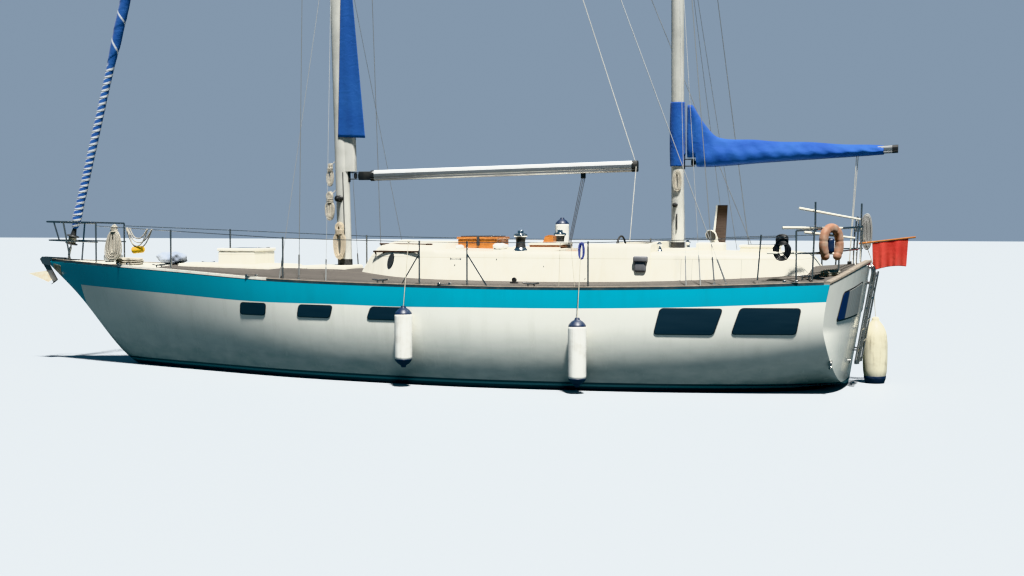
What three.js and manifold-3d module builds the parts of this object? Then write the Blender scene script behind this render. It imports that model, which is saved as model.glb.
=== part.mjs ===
// A ketch-rigged cruising yacht of 12.7 m, afloat, with its sails furled and its fenders out.
// Millimetres. +X points aft, +Y to starboard, +Z up.
// The origin is on the centreline, at the waterline, amidships.
import * as THREE from 'three';
import { mergeVertices } from 'three/addons/utils/BufferGeometryUtils.js';
import Module from 'manifold-3d';

const wasm = await Module();
wasm.setup();

// Driving dimensions of the whole boat
const seatGap = 0.3; // between pieces that rest on each other
const slideGap = 0.6; // under a lid or a slide, on its seat
const stemHeadX = -6890;
const transomTopX = 5770; // crest of the transom on the centreline
const transomBottomX = 5480;
const crestZ = 1640;
const transomBulge = 330; // how far its corners lie ahead of its middle
const transomHalf = 1450;
const plankThickness = 12;
const railHeight = 45;
const lifelineHeight = 600;
const mastLean = 0.028; // forward lean of the mainmast per unit of height

const white = 0xe9e6da;
const steel = 0xb9bcbd;
const alloy = 0xb4b6b4;
const ivory = 0xded8c4;
const teak = 0x847566;
const mahogany = 0xa9622c;
const royalBlue = 0x1450a8;
const blackish = 0x24262a;

// A smooth line through a short table of [position, value] rows.
function through(rows) {
  const slope = rows.map((row, k) => {
    const before = rows[Math.max(k - 1, 0)];
    const after = rows[Math.min(k + 1, rows.length - 1)];
    return (after[1] - before[1]) / (after[0] - before[0]);
  });
  return (at) => {
    const clamped = Math.min(Math.max(at, rows[0][0]), rows[rows.length - 1][0]);
    let k = 0;
    while (k < rows.length - 2 && clamped > rows[k + 1][0]) k += 1;
    const span = rows[k + 1][0] - rows[k][0];
    const t = (clamped - rows[k][0]) / span;
    const blend = t * t * (3 - 2 * t);
    const tangents = t * (1 - t) * (1 - t) * slope[k] - t * t * (1 - t) * slope[k + 1];
    return rows[k][1] + (rows[k + 1][1] - rows[k][1]) * blend + span * tangents;
  };
}

// The same, for each named column of a table whose first column is x.
function columns(names, rows) {
  const lines = names.map((name, k) => through(rows.map((row) => [row[0], row[k + 1]])));
  return (x) => Object.fromEntries(names.map((name, k) => [name, lines[k](x)]));
}

function steps(from, to, count) {
  return Array.from({ length: count + 1 }, (unused, k) => from + ((to - from) * k) / count);
}

// Points and triangles to a closed solid that faces outwards.
function solidOf(geometry) {
  const bare = geometry.clone();
  bare.deleteAttribute('normal');
  bare.deleteAttribute('uv');
  const merged = mergeVertices(bare, 1e-3);
  const vertProperties = new Float32Array(merged.attributes.position.array);
  const triVerts = new Uint32Array(merged.index.array);
  let volume = 0;
  const corner = (k) => new THREE.Vector3().fromArray(vertProperties, 3 * triVerts[k]);
  for (let k = 0; k < triVerts.length; k += 3) {
    volume += corner(k).dot(corner(k + 1).cross(corner(k + 2)));
  }
  if (volume < 0) {
    for (let k = 0; k < triVerts.length; k += 3) {
      [triVerts[k], triVerts[k + 1]] = [triVerts[k + 1], triVerts[k]];
    }
  }
  return new wasm.Manifold(new wasm.Mesh({ numProp: 3, vertProperties, triVerts }));
}

function geometryOf(solid) {
  const mesh = solid.getMesh();
  const geometry = new THREE.BufferGeometry();
  geometry.setAttribute('position', new THREE.BufferAttribute(mesh.vertProperties, 3));
  geometry.setIndex(new THREE.BufferAttribute(mesh.triVerts, 1));
  return geometry;
}

const join = (...solids) => solids.reduce((whole, next) => whole.add(next));
const cut = (solid, ...cutters) => cutters.reduce((rest, cutter) => rest.subtract(cutter), solid);
const moved = (solid, x, y, z) => solidOf(geometryOf(solid).translate(x, y, z));
const mirrored = (list) => list.map(([x, y, z]) => [x, -y, z]);

// A skin over rings of points, one after the other, with a flat fan on each end.
function loft(rings) {
  const count = rings[0].length;
  const index = [];
  const points = rings.flat();
  for (let ring = 0; ring < rings.length - 1; ring += 1) {
    for (let k = 0; k < count; k += 1) {
      const a = ring * count + k;
      const b = ring * count + ((k + 1) % count);
      index.push(a, b, b + count, a, b + count, a + count);
    }
  }
  [0, rings.length - 1].forEach((ring) => {
    const middle = [0, 1, 2].map((axis) => rings[ring].reduce((sum, p) => sum + p[axis], 0) / count);
    points.push(middle);
    for (let k = 0; k < count; k += 1) {
      const a = ring * count + k;
      const b = ring * count + ((k + 1) % count);
      index.push(...(ring === 0 ? [b, a, points.length - 1] : [a, b, points.length - 1]));
    }
  });
  const geometry = new THREE.BufferGeometry();
  geometry.setAttribute('position', new THREE.Float32BufferAttribute(points.flat(), 3));
  geometry.setIndex(index);
  return solidOf(geometry);
}

function box([x0, x1], [y0, y1], [z0, z1]) {
  const geometry = new THREE.BoxGeometry(x1 - x0, y1 - y0, z1 - z0);
  return solidOf(geometry.translate((x0 + x1) / 2, (y0 + y1) / 2, (z0 + z1) / 2));
}

// A flat outline seen from above, upright between two heights.
function prism(outline, z0, z1) {
  const shape = new THREE.Shape(outline.map(([x, y]) => new THREE.Vector2(x, y)));
  const geometry = new THREE.ExtrudeGeometry(shape, { depth: z1 - z0, bevelEnabled: false });
  return solidOf(geometry.translate(0, 0, z0));
}

// A flat outline in x and z, centred on the plane y = middle.
function sidePrism(outline, thickness, middle = 0) {
  const shape = new THREE.Shape(outline.map(([x, z]) => new THREE.Vector2(x, z)));
  const geometry = new THREE.ExtrudeGeometry(shape, { depth: thickness, bevelEnabled: false });
  return solidOf(geometry.rotateX(Math.PI / 2).translate(0, middle + thickness / 2, 0));
}

// A turned shape: rows of [radius, height] from the foot to the top, standing at x, y, z.
function turned(rows, x, y, z, sides = 16) {
  const profile = rows.map(([radius, height]) => new THREE.Vector2(radius, height));
  const geometry = new THREE.LatheGeometry(profile, sides).rotateX(Math.PI / 2);
  return solidOf(geometry.translate(x, y, z));
}

function aimed(geometry, from, to) {
  const start = new THREE.Vector3(...from);
  const along = new THREE.Vector3(...to).sub(start);
  const turn = new THREE.Quaternion().setFromUnitVectors(new THREE.Vector3(0, 1, 0), along.clone().normalize());
  return geometry.applyQuaternion(turn).translate(...start.addScaledVector(along, 0.5).toArray());
}

function rod(from, to, radius, sides = 6, endRadius = radius) {
  const length = new THREE.Vector3(...from).distanceTo(new THREE.Vector3(...to));
  return solidOf(aimed(new THREE.CylinderGeometry(endRadius, radius, length, sides), from, to));
}

// A path whose corners are rounded, walked from point to point.
class BentPath extends THREE.Curve {
  constructor(points) {
    super();
    this.points = points;
  }

  getSpacedPoints() {
    return this.points.map((point) => point.clone());
  }

  getTangentAt(share, target = new THREE.Vector3()) {
    const last = this.points.length - 1;
    const k = Math.round(share * last);
    return target.subVectors(this.points[Math.min(k + 1, last)], this.points[Math.max(k - 1, 0)]).normalize();
  }
}

// A tube through a list of points, each inner corner rounded with the given setback.
function tube(list, radius, setback = 0, sides = 6) {
  const corners = list.map((point) => new THREE.Vector3(...point));
  const points = corners.flatMap((corner, k) => {
    if (k === 0 || k === corners.length - 1 || setback === 0) return [corner];
    const toward = (other) => corner.clone().add(
      other.clone().sub(corner).setLength(Math.min(setback, corner.distanceTo(other) * 0.45)));
    const arc = new THREE.QuadraticBezierCurve3(toward(corners[k - 1]), corner, toward(corners[k + 1]));
    return arc.getPoints(3);
  });
  const section = new THREE.Shape(steps(0, 2 * Math.PI, sides).slice(0, sides)
    .map((angle) => new THREE.Vector2(radius * Math.cos(angle), radius * Math.sin(angle))));
  const options = { steps: points.length - 1, bevelEnabled: false, extrudePath: new BentPath(points) };
  return solidOf(new THREE.ExtrudeGeometry(section, options));
}

// Hull form

// x, keel-line height, half-breadth at the sheer, then the section curve's two inner control
// points: width as a share of the half-breadth, and height above the keel line as a share of depth
const section = columns(['bottom', 'half', 'bilgeWidth', 'bilgeRise', 'sideWidth', 'sideRise'], [
  [stemHeadX, 1500, 34, 0.50, 0.20, 0.90, 0.50],
  [-6380, 1040, 250, 0.35, 0.14, 0.70, 0.50],
  [-5450, 75, 600, 0.28, 0.08, 0.62, 0.42],
  [-4200, -420, 985, 0.38, 0.03, 0.76, 0.32],
  [-2100, -600, 1550, 0.60, 0.01, 0.98, 0.27],
  [0, -660, 1880, 0.66, 0.01, 1.03, 0.24],
  [1200, -650, 1950, 0.66, 0.01, 1.04, 0.24],
  [3000, -500, 1860, 0.66, 0.01, 1.04, 0.24],
  [4400, -240, 1660, 0.66, 0.01, 1.02, 0.22],
  [5400, 40, 1460, 0.64, 0.01, 1.00, 0.16],
  [6100, 130, 1330, 0.64, 0.01, 1.00, 0.14],
]);

const sheerAt = through([
  [stemHeadX, 1567], [-4200, 1451], [-2100, 1354], [1200, 1313], [3400, 1336], [5420, 1406], [6100, 1440],
]);

const camberAt = through([
  [stemHeadX, 12], [-4200, 65], [-3300, 105], [-2100, 143], [-1300, 145], [-300, 118], [1200, 108], [3000, 125],
  [5400, 205], [6100, 235],
]);

const deckHeight = (x, y) => sheerAt(x) + camberAt(x) * (1 - (y / section(x).half) ** 2);

function hullSide(x, sidePoints) {
  const { bottom, half, bilgeWidth, bilgeRise, sideWidth, sideRise } = section(x);
  const depth = sheerAt(x) - bottom;
  const curve = new THREE.CubicBezierCurve(
    new THREE.Vector2(0, bottom),
    new THREE.Vector2(bilgeWidth * half, bottom + bilgeRise * depth),
    new THREE.Vector2(sideWidth * half, bottom + sideRise * depth),
    new THREE.Vector2(half, sheerAt(x)),
  );
  return curve.getPoints(sidePoints).map((p) => [x, p.x, p.y]);
}

// The hull's half-breadth at a place on its side.
function hullHalf(x, z) {
  const side = hullSide(x, 60);
  const above = side.findIndex((p) => p[2] > z);
  const [low, high] = [side[above - 1], side[above]];
  return low[1] + ((high[1] - low[1]) * (z - low[2])) / (high[2] - low[2]);
}

function hullRing(x) {
  const starboard = hullSide(x, 11);
  const { half } = section(x);
  const deck = steps(half, -half, 8).slice(1, -1).map((y) => [x, y, deckHeight(x, y)]);
  return [...starboard, ...deck, ...mirrored(starboard.slice(1)).reverse()];
}

function transomX(y, z) {
  const bulge = transomBulge * Math.min(1, 0.45 + z / 1500);
  const rake = ((transomTopX - transomBottomX) * z) / crestZ;
  return transomBottomX + rake - bulge * (y / transomHalf) ** 2;
}

// Everything abaft the transom's face, shifted aft or forward by an offset.
function abaftTransom(offset) {
  const back = 6900;
  const side = 1900;
  return loft(steps(-900, 2600, 7).map((z) => [
    ...steps(-side, side, 14).map((y) => [transomX(y, z) + offset, y, z]),
    [back, side, z],
    [back, -side, z],
  ]));
}

const hullStations = [
  stemHeadX, -6780, -6600, -6380, -6000, -5600, -5200, -4700, -4200, -3500, -2800, -2100, -1200, -300, 600, 1500,
  2400, 3200, 3900, 4500, 5000, 5400, 5800, 6100,
];
const bareHull = cut(loft(hullStations.map(hullRing)), abaftTransom(0));

// The deck plan, as an outline inside the sheer by an inset, from one end to the other.
const planStations = hullStations.slice(1, -1);
const planEdge = (inset, side) => planStations.map((x) => [x, side * Math.max(section(x).half - inset, 6)]);
const planOutline = (inset) => [...planEdge(inset, 1), ...planEdge(inset, -1).reverse()];

// Layers on the hull's own top surface
const raised = (height) => moved(bareHull, 0, 0, height);
const deckSeat = raised(seatGap);
const deckTop = plankThickness + seatGap;
const plankInset = 60;
const onDeck = raised(deckTop + seatGap);

// Cockpit, between the coachroof and the mizzen mast
const cockpit = { fore: 1660, aft: 2980, half: 980, seatZ: 1450 };
const footwell = { fore: 1720, aft: 2900, half: 400, soleZ: 850 };
const footwellCut = box([footwell.fore, footwell.aft], [-footwell.half, footwell.half], [footwell.soleZ, 2300]);

// Hatches: x range, half-width, and the height of the frame's top
const forehatch = { fore: -3740, aft: -3130, half: 330, top: 1750, lid: 42, wellZ: 1150 };
const skylight = { fore: 60, aft: 640, half: 280, top: 1940, lid: 34, wellZ: 1600 };
const companion = { fore: 1130, aft: 1580, half: 320, runnerTop: 1832, lid: 70, wellZ: 1450 };
const aftHatch = { fore: 4080, aft: 4560, half: 270, top: 1845, lid: 34, wellZ: 1500 };
const hatchWall = 40;

const hatchWell = (hatch) => box(
  [hatch.fore + hatchWall, hatch.aft - hatchWall],
  [hatchWall - hatch.half, hatch.half - hatchWall],
  [hatch.wellZ, 2400],
);

// Trunks: the sides of the cabin, lofted along the boat

// x, half-width at the foot, half-width at the top edge, height of the top edge, crown above that edge
const trunkLine = columns(['foot', 'edge', 'edgeZ', 'crown'], [
  [-1310, 600, 560, 1430, 10],
  [-1290, 620, 580, 1500, 20],
  [-1000, 800, 720, 1815, 80],
  [-700, 960, 880, 1822, 88],
  [-300, 1080, 1005, 1822, 92],
  [-20, 1125, 1055, 1818, 92],
  [30, 1135, 1065, 1790, 34],
  [1200, 1195, 1125, 1786, 32],
  [3000, 1200, 1130, 1786, 32],
  [3200, 1195, 1125, 1784, 32],
  [4400, 1110, 1040, 1754, 30],
  [4900, 1060, 990, 1744, 30],
  [5100, 1040, 980, 1480, 60],
]);

function trunkRing(x, lift = 0) {
  const { foot, edge, edgeZ, crown } = trunkLine(x);
  const top = edgeZ + lift;
  const low = 1150;
  const roof = steps(edge - 45, 45 - edge, 6)
    .map((y) => [x, y, top + crown * (1 - (y / edge) ** 2)]);
  const starboard = [[x, foot + 20, low], [x, foot, 1390], [x, edge + 8, top - 60], [x, edge - 6, top - 22]];
  return [...starboard, ...roof, ...mirrored(starboard).reverse()];
}

function trunk(stations, liftAt = () => 0) {
  return loft(stations.map((x) => trunkRing(x, liftAt(x))));
}

// Masts: centre of the foot, lean, half lengths of the oval section, height of the top
const mainmast = { x: -1811, lean: mastLean, halfX: 108, halfY: 76, footZ: 1550, topZ: 17000 };
const mizzen = { x: 3180, lean: 0.005, halfX: 88, halfY: 70, footZ: 1830, topZ: 11600 };
const mastX = (mast, z) => mast.x - mast.lean * (z - mast.footZ);

function oval(x, y, z, halfX, halfY, sides = 16) {
  return steps(0, 2 * Math.PI, sides).slice(0, sides)
    .map((angle) => [x + halfX * Math.cos(angle), y + halfY * Math.sin(angle), z]);
}

const mastRing = (mast, z, grow = 0) => oval(mastX(mast, z), 0, z, mast.halfX + grow, mast.halfY + grow);

// Spreaders: height, reach to the side, sweep aft, rise of the tip
const mainSpreaders = [
  { z: 6900, reach: 1150, sweep: 60, rise: 60 },
  { z: 12000, reach: 850, sweep: 50, rise: 60 },
];
const mizzenSpreaders = [{ z: 7000, reach: 760, sweep: 190, rise: 50 }];

function spreaderTip(mast, spreader, side) {
  return [mastX(mast, spreader.z) + spreader.sweep, side * spreader.reach, spreader.z + spreader.rise];
}

// The housing of the in-mast furling gear stands behind the mainmast, above the gooseneck.
const housing = { low: 2930, high: 16400, reach: 112, half: 58 };

function housingSolid() {
  return loft([housing.low, housing.high].map((z) => {
    const face = mastX(mainmast, z) + mainmast.halfX;
    return [[face - 60, housing.half, z], [face + housing.reach - 26, housing.half, z],
      [face + housing.reach, housing.half - 30, z], [face + housing.reach, 30 - housing.half, z],
      [face + housing.reach - 26, -housing.half, z], [face - 60, -housing.half, z]];
  }));
}

function mastSolid(mast, spreaders) {
  const pole = loft(steps(mast.footZ, mast.topZ, 1).map((z) => mastRing(mast, z)));
  const arms = spreaders.flatMap((spreader) => [-1, 1].map((side) => rod(
    [mastX(mast, spreader.z) + 5, side * 20, spreader.z],
    spreaderTip(mast, spreader, side), 30, 8, 20)));
  const head = box(
    [mastX(mast, mast.topZ) - mast.halfX - 60, mastX(mast, mast.topZ) + mast.halfX + 60],
    [-28, 28], [mast.topZ - 60, mast.topZ + 30]);
  return join(pole, head, ...arms);
}

// Booms: the pin's x, front and aft end of the spar, centre heights there, half-height and half-width
const mainBoom = { pinX: -1640, fore: -1380, aft: 2610, foreZ: 2865, aftZ: 2960, tall: 76, wide: 52 };
const mizzenBoom = { pinX: 3385, fore: 3485, aft: 6110, foreZ: 3000, aftZ: 3150, tall: 52, wide: 40 };
const boomZ = (boom, x) => boom.foreZ + ((boom.aftZ - boom.foreZ) * (x - boom.fore)) / (boom.aft - boom.fore);

function boomRing(boom, x, grow = 0) {
  const tall = boom.tall + grow;
  const wide = boom.wide + grow;
  const corners = [[1, 0.6], [0.6, 1], [-0.6, 1], [-1, 0.6], [-1, -0.6], [-0.6, -1], [0.6, -1], [1, -0.6]];
  return corners.map(([side, up]) => [x, side * wide, boomZ(boom, x) + up * tall]);
}

// A boom turns about an upright pin that stands in a forked bracket on the mast.
const pinRadius = 12;
const pinGap = 0.8;
const forkThickness = 14;
const eyeHalf = 34;

function boomSolid(boom) {
  const spar = loft([boom.fore, boom.aft].map((x) => boomRing(boom, x)));
  const neck = box([boom.pinX, boom.fore + 20], [-18, 18], [boom.foreZ - eyeHalf, boom.foreZ + eyeHalf]);
  const eye = turned([[0, -eyeHalf], [26, -eyeHalf], [26, eyeHalf], [0, eyeHalf]], boom.pinX, 0, boom.foreZ);
  const hole = turned([[0, -200], [pinRadius + pinGap, -200], [pinRadius + pinGap, 200], [0, 200]],
    boom.pinX, 0, boom.foreZ, 12);
  return cut(join(spar, neck, eye), hole);
}

function gooseneck(mast, boom) {
  const faceX = mastX(mast, boom.foreZ) + mast.halfX;
  const reach = boom.pinX + 26;
  const forks = [-1, 1].map((side) => {
    const z = boom.foreZ + side * (eyeHalf + 6 + forkThickness / 2);
    return box([faceX - 40, reach], [-26, 26], [z - forkThickness / 2, z + forkThickness / 2]);
  });
  const plate = box([faceX - 40, faceX + 10], [-30, 30], [boom.foreZ - 90, boom.foreZ + 90]);
  const tallPin = eyeHalf + 6 + forkThickness;
  const pin = turned([[0, -tallPin], [pinRadius, -tallPin], [pinRadius, tallPin], [0, tallPin]],
    boom.pinX, 0, boom.foreZ, 12);
  return join(plate, ...forks, pin);
}

// Rigging
const wireRadius = 5;
const turnbuckle = { radius: 13, from: 40, to: 330 };

// A stay from its deck plate up through spreader tips to the mast, with its turnbuckle at the foot.
function stay(points) {
  const [x, y, z] = points[0];
  const foot = new THREE.Vector3(x, y, z);
  const up = new THREE.Vector3(...points[1]).sub(foot).normalize();
  const at = (distance) => foot.clone().addScaledVector(up, distance).toArray();
  const plate = join(box([x - 45, x + 45], [y - 20, y + 20], [z - 60, z - 16]),
    box([x - 16, x + 16], [y - 6, y + 6], [z - 30, z + 8]));
  return join(tube(points, wireRadius, 0, 6), cut(plate, onDeck),
    rod(at(turnbuckle.from), at(turnbuckle.to), turnbuckle.radius, 6));
}

const chainplates = {
  main: { x: -1850, inset: 120 },
  mizzen: { x: 3970, inset: 170 },
  backstay: { x: 4130, inset: 90 },
};

function chainplateFoot(plate, side) {
  const y = side * (section(plate.x).half - plate.inset);
  return [plate.x, y, deckHeight(plate.x, y) + deckTop];
}

// Wire ends on the mast, just clear of its skin
const mainHeadX = mastX(mainmast, mainmast.topZ);
const mizzenHeadX = mastX(mizzen, mizzen.topZ);

function shroudPath(plate, mast, spreaders, side) {
  const foot = chainplateFoot(plate, side);
  const tips = spreaders.map((spreader) => {
    const [x, y, z] = spreaderTip(mast, spreader, side);
    return [x, y + side * (wireRadius + 5 * seatGap), z];
  });
  const headZ = mast.topZ - 90;
  const head = [mastX(mast, headZ), side * (mast.halfY - 2 * wireRadius), headZ];
  return [[foot[0], foot[1], foot[2] + 24], ...tips, head];
}

// Deck hardware
const deckAt = (x, y) => deckHeight(x, y) + deckTop;

function footplate(x, y, radius = 34, height = 10) {
  return turned([[0, 0], [radius, 0], [radius, height], [0, height]], x, y, deckAt(x, y) - 20, 10);
}

const stanchionInset = 80;
const tubeRadius = 12.5;

function deckEdge(x, side, inset = stanchionInset) {
  const y = side * (section(x).half - inset);
  return [x, y, deckAt(x, y)];
}

const lift = ([x, y, z], height) => [x, y, z + height];

// Guard wires: one run of wire through the stanchion heads, from the pulpit to the stern rail
const stanchions = [-4200, -2100, 70, 760, 2390];
const pulpitAft = -5800;
const sternRailFore = 4980;

const wireTube = 5;
const wireAt = (x, side) => lift(deckEdge(x, side), lifelineHeight - 18);

// The wire runs straight from one stanchion head to the next.
function wirePoint(x, side) {
  const supports = [...stanchions, sternRailFore];
  const next = supports.findIndex((at) => at > x);
  const [from, to] = [wireAt(supports[next - 1], side), wireAt(supports[next], side)];
  const share = (x - from[0]) / (to[0] - from[0]);
  return from.map((value, axis) => value + (to[axis] - value) * share);
}

function lifeline(side, foreRail, aftRail) {
  const path = [pulpitAft, ...stanchions, sternRailFore].map((x) => wireAt(x, side));
  const posts = stanchions.map((x) => rod(
    lift(deckEdge(x, side), -20), lift(deckEdge(x, side), lifelineHeight), tubeRadius));
  const braces = [[70, -290], [760, 300]].map(([x, run]) => rod(
    lift(deckEdge(x + run, side), -20), lift(deckEdge(x, side), lifelineHeight * 0.72), 10, 6));
  const feet = stanchions.map((x) => footplate(...deckEdge(x, side).slice(0, 2)));
  return cut(join(tube(path, wireTube), ...posts, ...braces, ...feet), onDeck,
    moved(foreRail, seatGap, 0, 0), moved(aftRail, -seatGap, 0, 0));
}

// The bow rail: two side loops joined round the stem head
function pulpit() {
  const top = (x, y) => [x, y, deckAt(x, 0) + lifelineHeight];
  const aftY = section(pulpitAft).half - stanchionInset;
  const rail = [top(pulpitAft, -aftY), top(-6450, -290), top(-6900, -150), top(-6900, 150), top(-6450, 290),
    top(pulpitAft, aftY)];
  const waist = rail.map(([x, y, z]) => [x * 0.995, y, z - 290]);
  const legs = [-1, 1].flatMap((side) => [
    rod(lift(deckEdge(pulpitAft, side), -20), top(pulpitAft, side * aftY), tubeRadius),
    rod([-6420, side * 150, deckAt(-6420, 150) - 20], top(-6450, side * 290), tubeRadius),
  ]);
  const front = rod([-6800, 110, top(-6800, 0)[2] - 300], top(-6900, 110), tubeRadius);
  return cut(join(tube(rail, tubeRadius, 150), tube(waist, 10, 150), front, ...legs), onDeck);
}

// One half of the stern rail, from the last stanchion round the quarter to the boarding gap
const boardingGap = 330;
const sternRailTop = 2080;

function sternRail(side) {
  const edge = (x) => side * (section(x).half - stanchionInset);
  const route = [[sternRailFore, edge(sternRailFore)], [5200, edge(5200) + side * 8], [5480, side * 1010],
    [5640, side * boardingGap]];
  const along = (height) => route.map(([x, y], k) => [x, y, height + k * 14]);
  const top = tube(along(sternRailTop), tubeRadius, 160);
  const waist = tube(along(sternRailTop - 290), 10, 160);
  const legs = route.map(([x, y], k) => {
    const inset = k === 0 ? 0 : 30;
    return rod([x - inset, y * (k === 3 ? 1 : 0.985), deckAt(x, y) - 60], [x, y, sternRailTop + k * 14], tubeRadius);
  });
  return cut(join(top, waist, ...legs), onDeck, abaftTransom(-40));
}

// Fenders: a moulded body with a conical eye at each end
function fender(x, y, topZ, bottomZ, radius, cone = radius * 0.8) {
  const tall = topZ - bottomZ;
  const rows = [[0, 0], [radius * 0.26, 0], [radius * 0.3, cone * 0.3], [radius * 0.9, cone],
    [radius, cone * 1.15], [radius, tall - cone * 1.15], [radius * 0.9, tall - cone],
    [radius * 0.3, tall - cone * 0.3], [radius * 0.26, tall], [0, tall]];
  return turned(rows, x, y, bottomZ, 18);
}

const lanyardRadius = 5;

// The scene graph
const yacht = new THREE.Group();

function add(name, solid, color, roughness = 0.5, metalness = 0) {
  const material = new THREE.MeshStandardMaterial({ color, roughness, metalness });
  const mesh = new THREE.Mesh(geometryOf(solid), material);
  mesh.name = name;
  yacht.add(mesh);
}

// Hull, with the hatches' wells, the footwell and the rudder port cut out
const rudderAxis = { x: 4980, stock: 30, heelZ: -1500 };
const rudderPort = turned([[0, -600], [36, -600], [36, 420], [0, 420]], rudderAxis.x, 0, 0, 16);
const companionWell = hatchWell(companion);
const hull = cut(bareHull, footwellCut, hatchWell(forehatch), rudderPort);
add('hull', hull, white, 0.32);

// Ballast keel: sections of a lens-shaped foil, from the hull down to the sole
// z, leading edge x, trailing edge x, half-thickness
const keelRows = [
  [-380, -1750, 2150, 150],
  [-700, -1650, 2120, 130],
  [-1400, -1250, 2040, 135],
  [-1780, -1050, 1990, 150],
  [-1830, -980, 1960, 90],
];

function foilRing([z, fore, aft, half], points = 8) {
  const side = steps(0, 1, points).map((t) => {
    const share = 0.5 - 0.5 * Math.cos(Math.PI * t);
    const thick = 1.48 * (Math.sqrt(share) - share) + 0.22 * share * (1 - share) + 0.02;
    return [fore + (aft - fore) * share, 2 * half * thick, z];
  });
  return [...side, ...mirrored(side).reverse()];
}

add('keel', cut(loft(keelRows.map((row) => foilRing(row))), moved(bareHull, 0, 0, -seatGap)), 0x2b3f4a, 0.7);

// Skeg, with the heel that carries the rudder's lower pin
const skegTrail = rudderAxis.x - 62;
const skeg = loft([[-150, 3980, skegTrail, 62], [-800, 4330, skegTrail, 52], [-1560, 4560, skegTrail, 46]]
  .map(([z, fore, aft, half]) => [[fore, 0, z], [fore + 90, half * 0.7, z], [aft, half, z], [aft, -half, z],
    [fore + 90, -half * 0.7, z]]));
const heel = box([skegTrail - 120, rudderAxis.x + 60], [-34, 34], [-1600, rudderAxis.heelZ - 12]);
const heelPin = turned([[0, 0], [16, 0], [16, 70], [0, 70]], rudderAxis.x, 0, rudderAxis.heelZ - 30, 12);
add('skeg', cut(join(skeg, heel, heelPin), moved(bareHull, 0, 0, -seatGap)), 0x2b3f4a, 0.7);

// Rudder: its round leading edge is the stock
const rudderBlade = loft([[-165, 5440, 40], [-900, 5530, 34], [rudderAxis.heelZ, 5420, 26]]
  .map(([z, aft, half]) => {
    const nose = steps(-90, 90, 6).map((degrees) => {
      const angle = (degrees * Math.PI) / 180;
      return [rudderAxis.x - half * Math.cos(angle), half * Math.sin(angle), z];
    });
    return [...nose, [aft - 120, half * 0.6, z], [aft, 6, z], [aft, -6, z], [aft - 120, -half * 0.6, z]];
  }));
const rudderStock = turned([[0, -300], [30, -300], [30, 380], [0, 380]], rudderAxis.x, 0, 0, 16);
const pinHole = turned([[0, -20], [16.8, -20], [16.8, 60], [0, 60]], rudderAxis.x, 0, rudderAxis.heelZ - 10, 12);
add('rudder', cut(join(rudderBlade, rudderStock), pinHole), 0x2b3f4a, 0.7);

// Propeller shaft in its bracket, and the three-bladed propeller on the shaft's end
const shaftAngle = 0.14;
const propellerAt = [3985, 0, -650];
const alongShaft = (distance, side = 0, up = 0) => [
  propellerAt[0] + distance * Math.cos(shaftAngle) + up * Math.sin(shaftAngle), side,
  propellerAt[2] - distance * Math.sin(shaftAngle) + up * Math.cos(shaftAngle),
];
const shaft = rod(alongShaft(-1500), alongShaft(-seatGap), 16, 12);
const shaftBearing = rod(alongShaft(-230), alongShaft(-90), 34, 12);
const strut = loft([alongShaft(-160), [3825, 0, 0]].map(([x, y, z]) => oval(x, y, z, 50, 12, 10)));
add('propeller_shaft', cut(join(shaft, shaftBearing, strut), moved(bareHull, 0, 0, -seatGap)), 0x8d8f8c, 0.35, 0.9);

const hubLength = 92;
const propellerHub = new THREE.CylinderGeometry(26, 36, hubLength, 14).rotateZ(-Math.PI / 2);
const propeller = join(solidOf(propellerHub), ...[0, 1, 2].map((blade) => {
  const angle = (blade * 2 * Math.PI) / 3;
  const flat = new THREE.ExtrudeGeometry(new THREE.Shape([[18, -30], [95, -75], [190, -70], [225, 0], [190, 62],
    [95, 55], [18, 26]].map(([out, wide]) => new THREE.Vector2(wide, out))), { depth: 9, bevelEnabled: false });
  flat.translate(0, 0, -4.5).rotateY(0.6).rotateX(Math.PI / 2).rotateZ(Math.PI / 2);
  return solidOf(flat.rotateX(angle));
}));
add('propeller', solidOf(geometryOf(propeller).translate(hubLength / 2, 0, 0).rotateY(shaftAngle)
  .translate(...propellerAt)), 0xb08a4a, 0.35, 0.9);

// Teak deck, toe rails and the cap on the transom
const plankPrism = prism(planOutline(plankInset), 900, 2600);
const deckBlank = cut(raised(deckTop).intersect(plankPrism), deckSeat, abaftTransom(-75));
add('deck', cut(deckBlank, footwellCut, hatchWell(forehatch)), teak, 0.8);

function toeRail(side) {
  const rings = planStations.map((x) => {
    const outer = section(x).half - 2;
    const inner = outer - 34;
    const top = sheerAt(x) + railHeight;
    return [[x, side * outer, sheerAt(x) + seatGap], [x, side * outer, top],
      [x, side * inner, top], [x, side * inner, deckHeight(x, inner) + seatGap]];
  });
  return cut(loft(rings), deckSeat, abaftTransom(-75));
}

add('toe_rail_port', toeRail(-1), 0x6d6258, 0.8);
add('toe_rail_starboard', toeRail(1), 0x6d6258, 0.8);

const capHeight = 40;
const taffrail = cut(raised(capHeight).intersect(abaftTransom(-74)), deckSeat, abaftTransom(-1));
add('taffrail', taffrail, 0x6d6258, 0.8);

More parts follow.
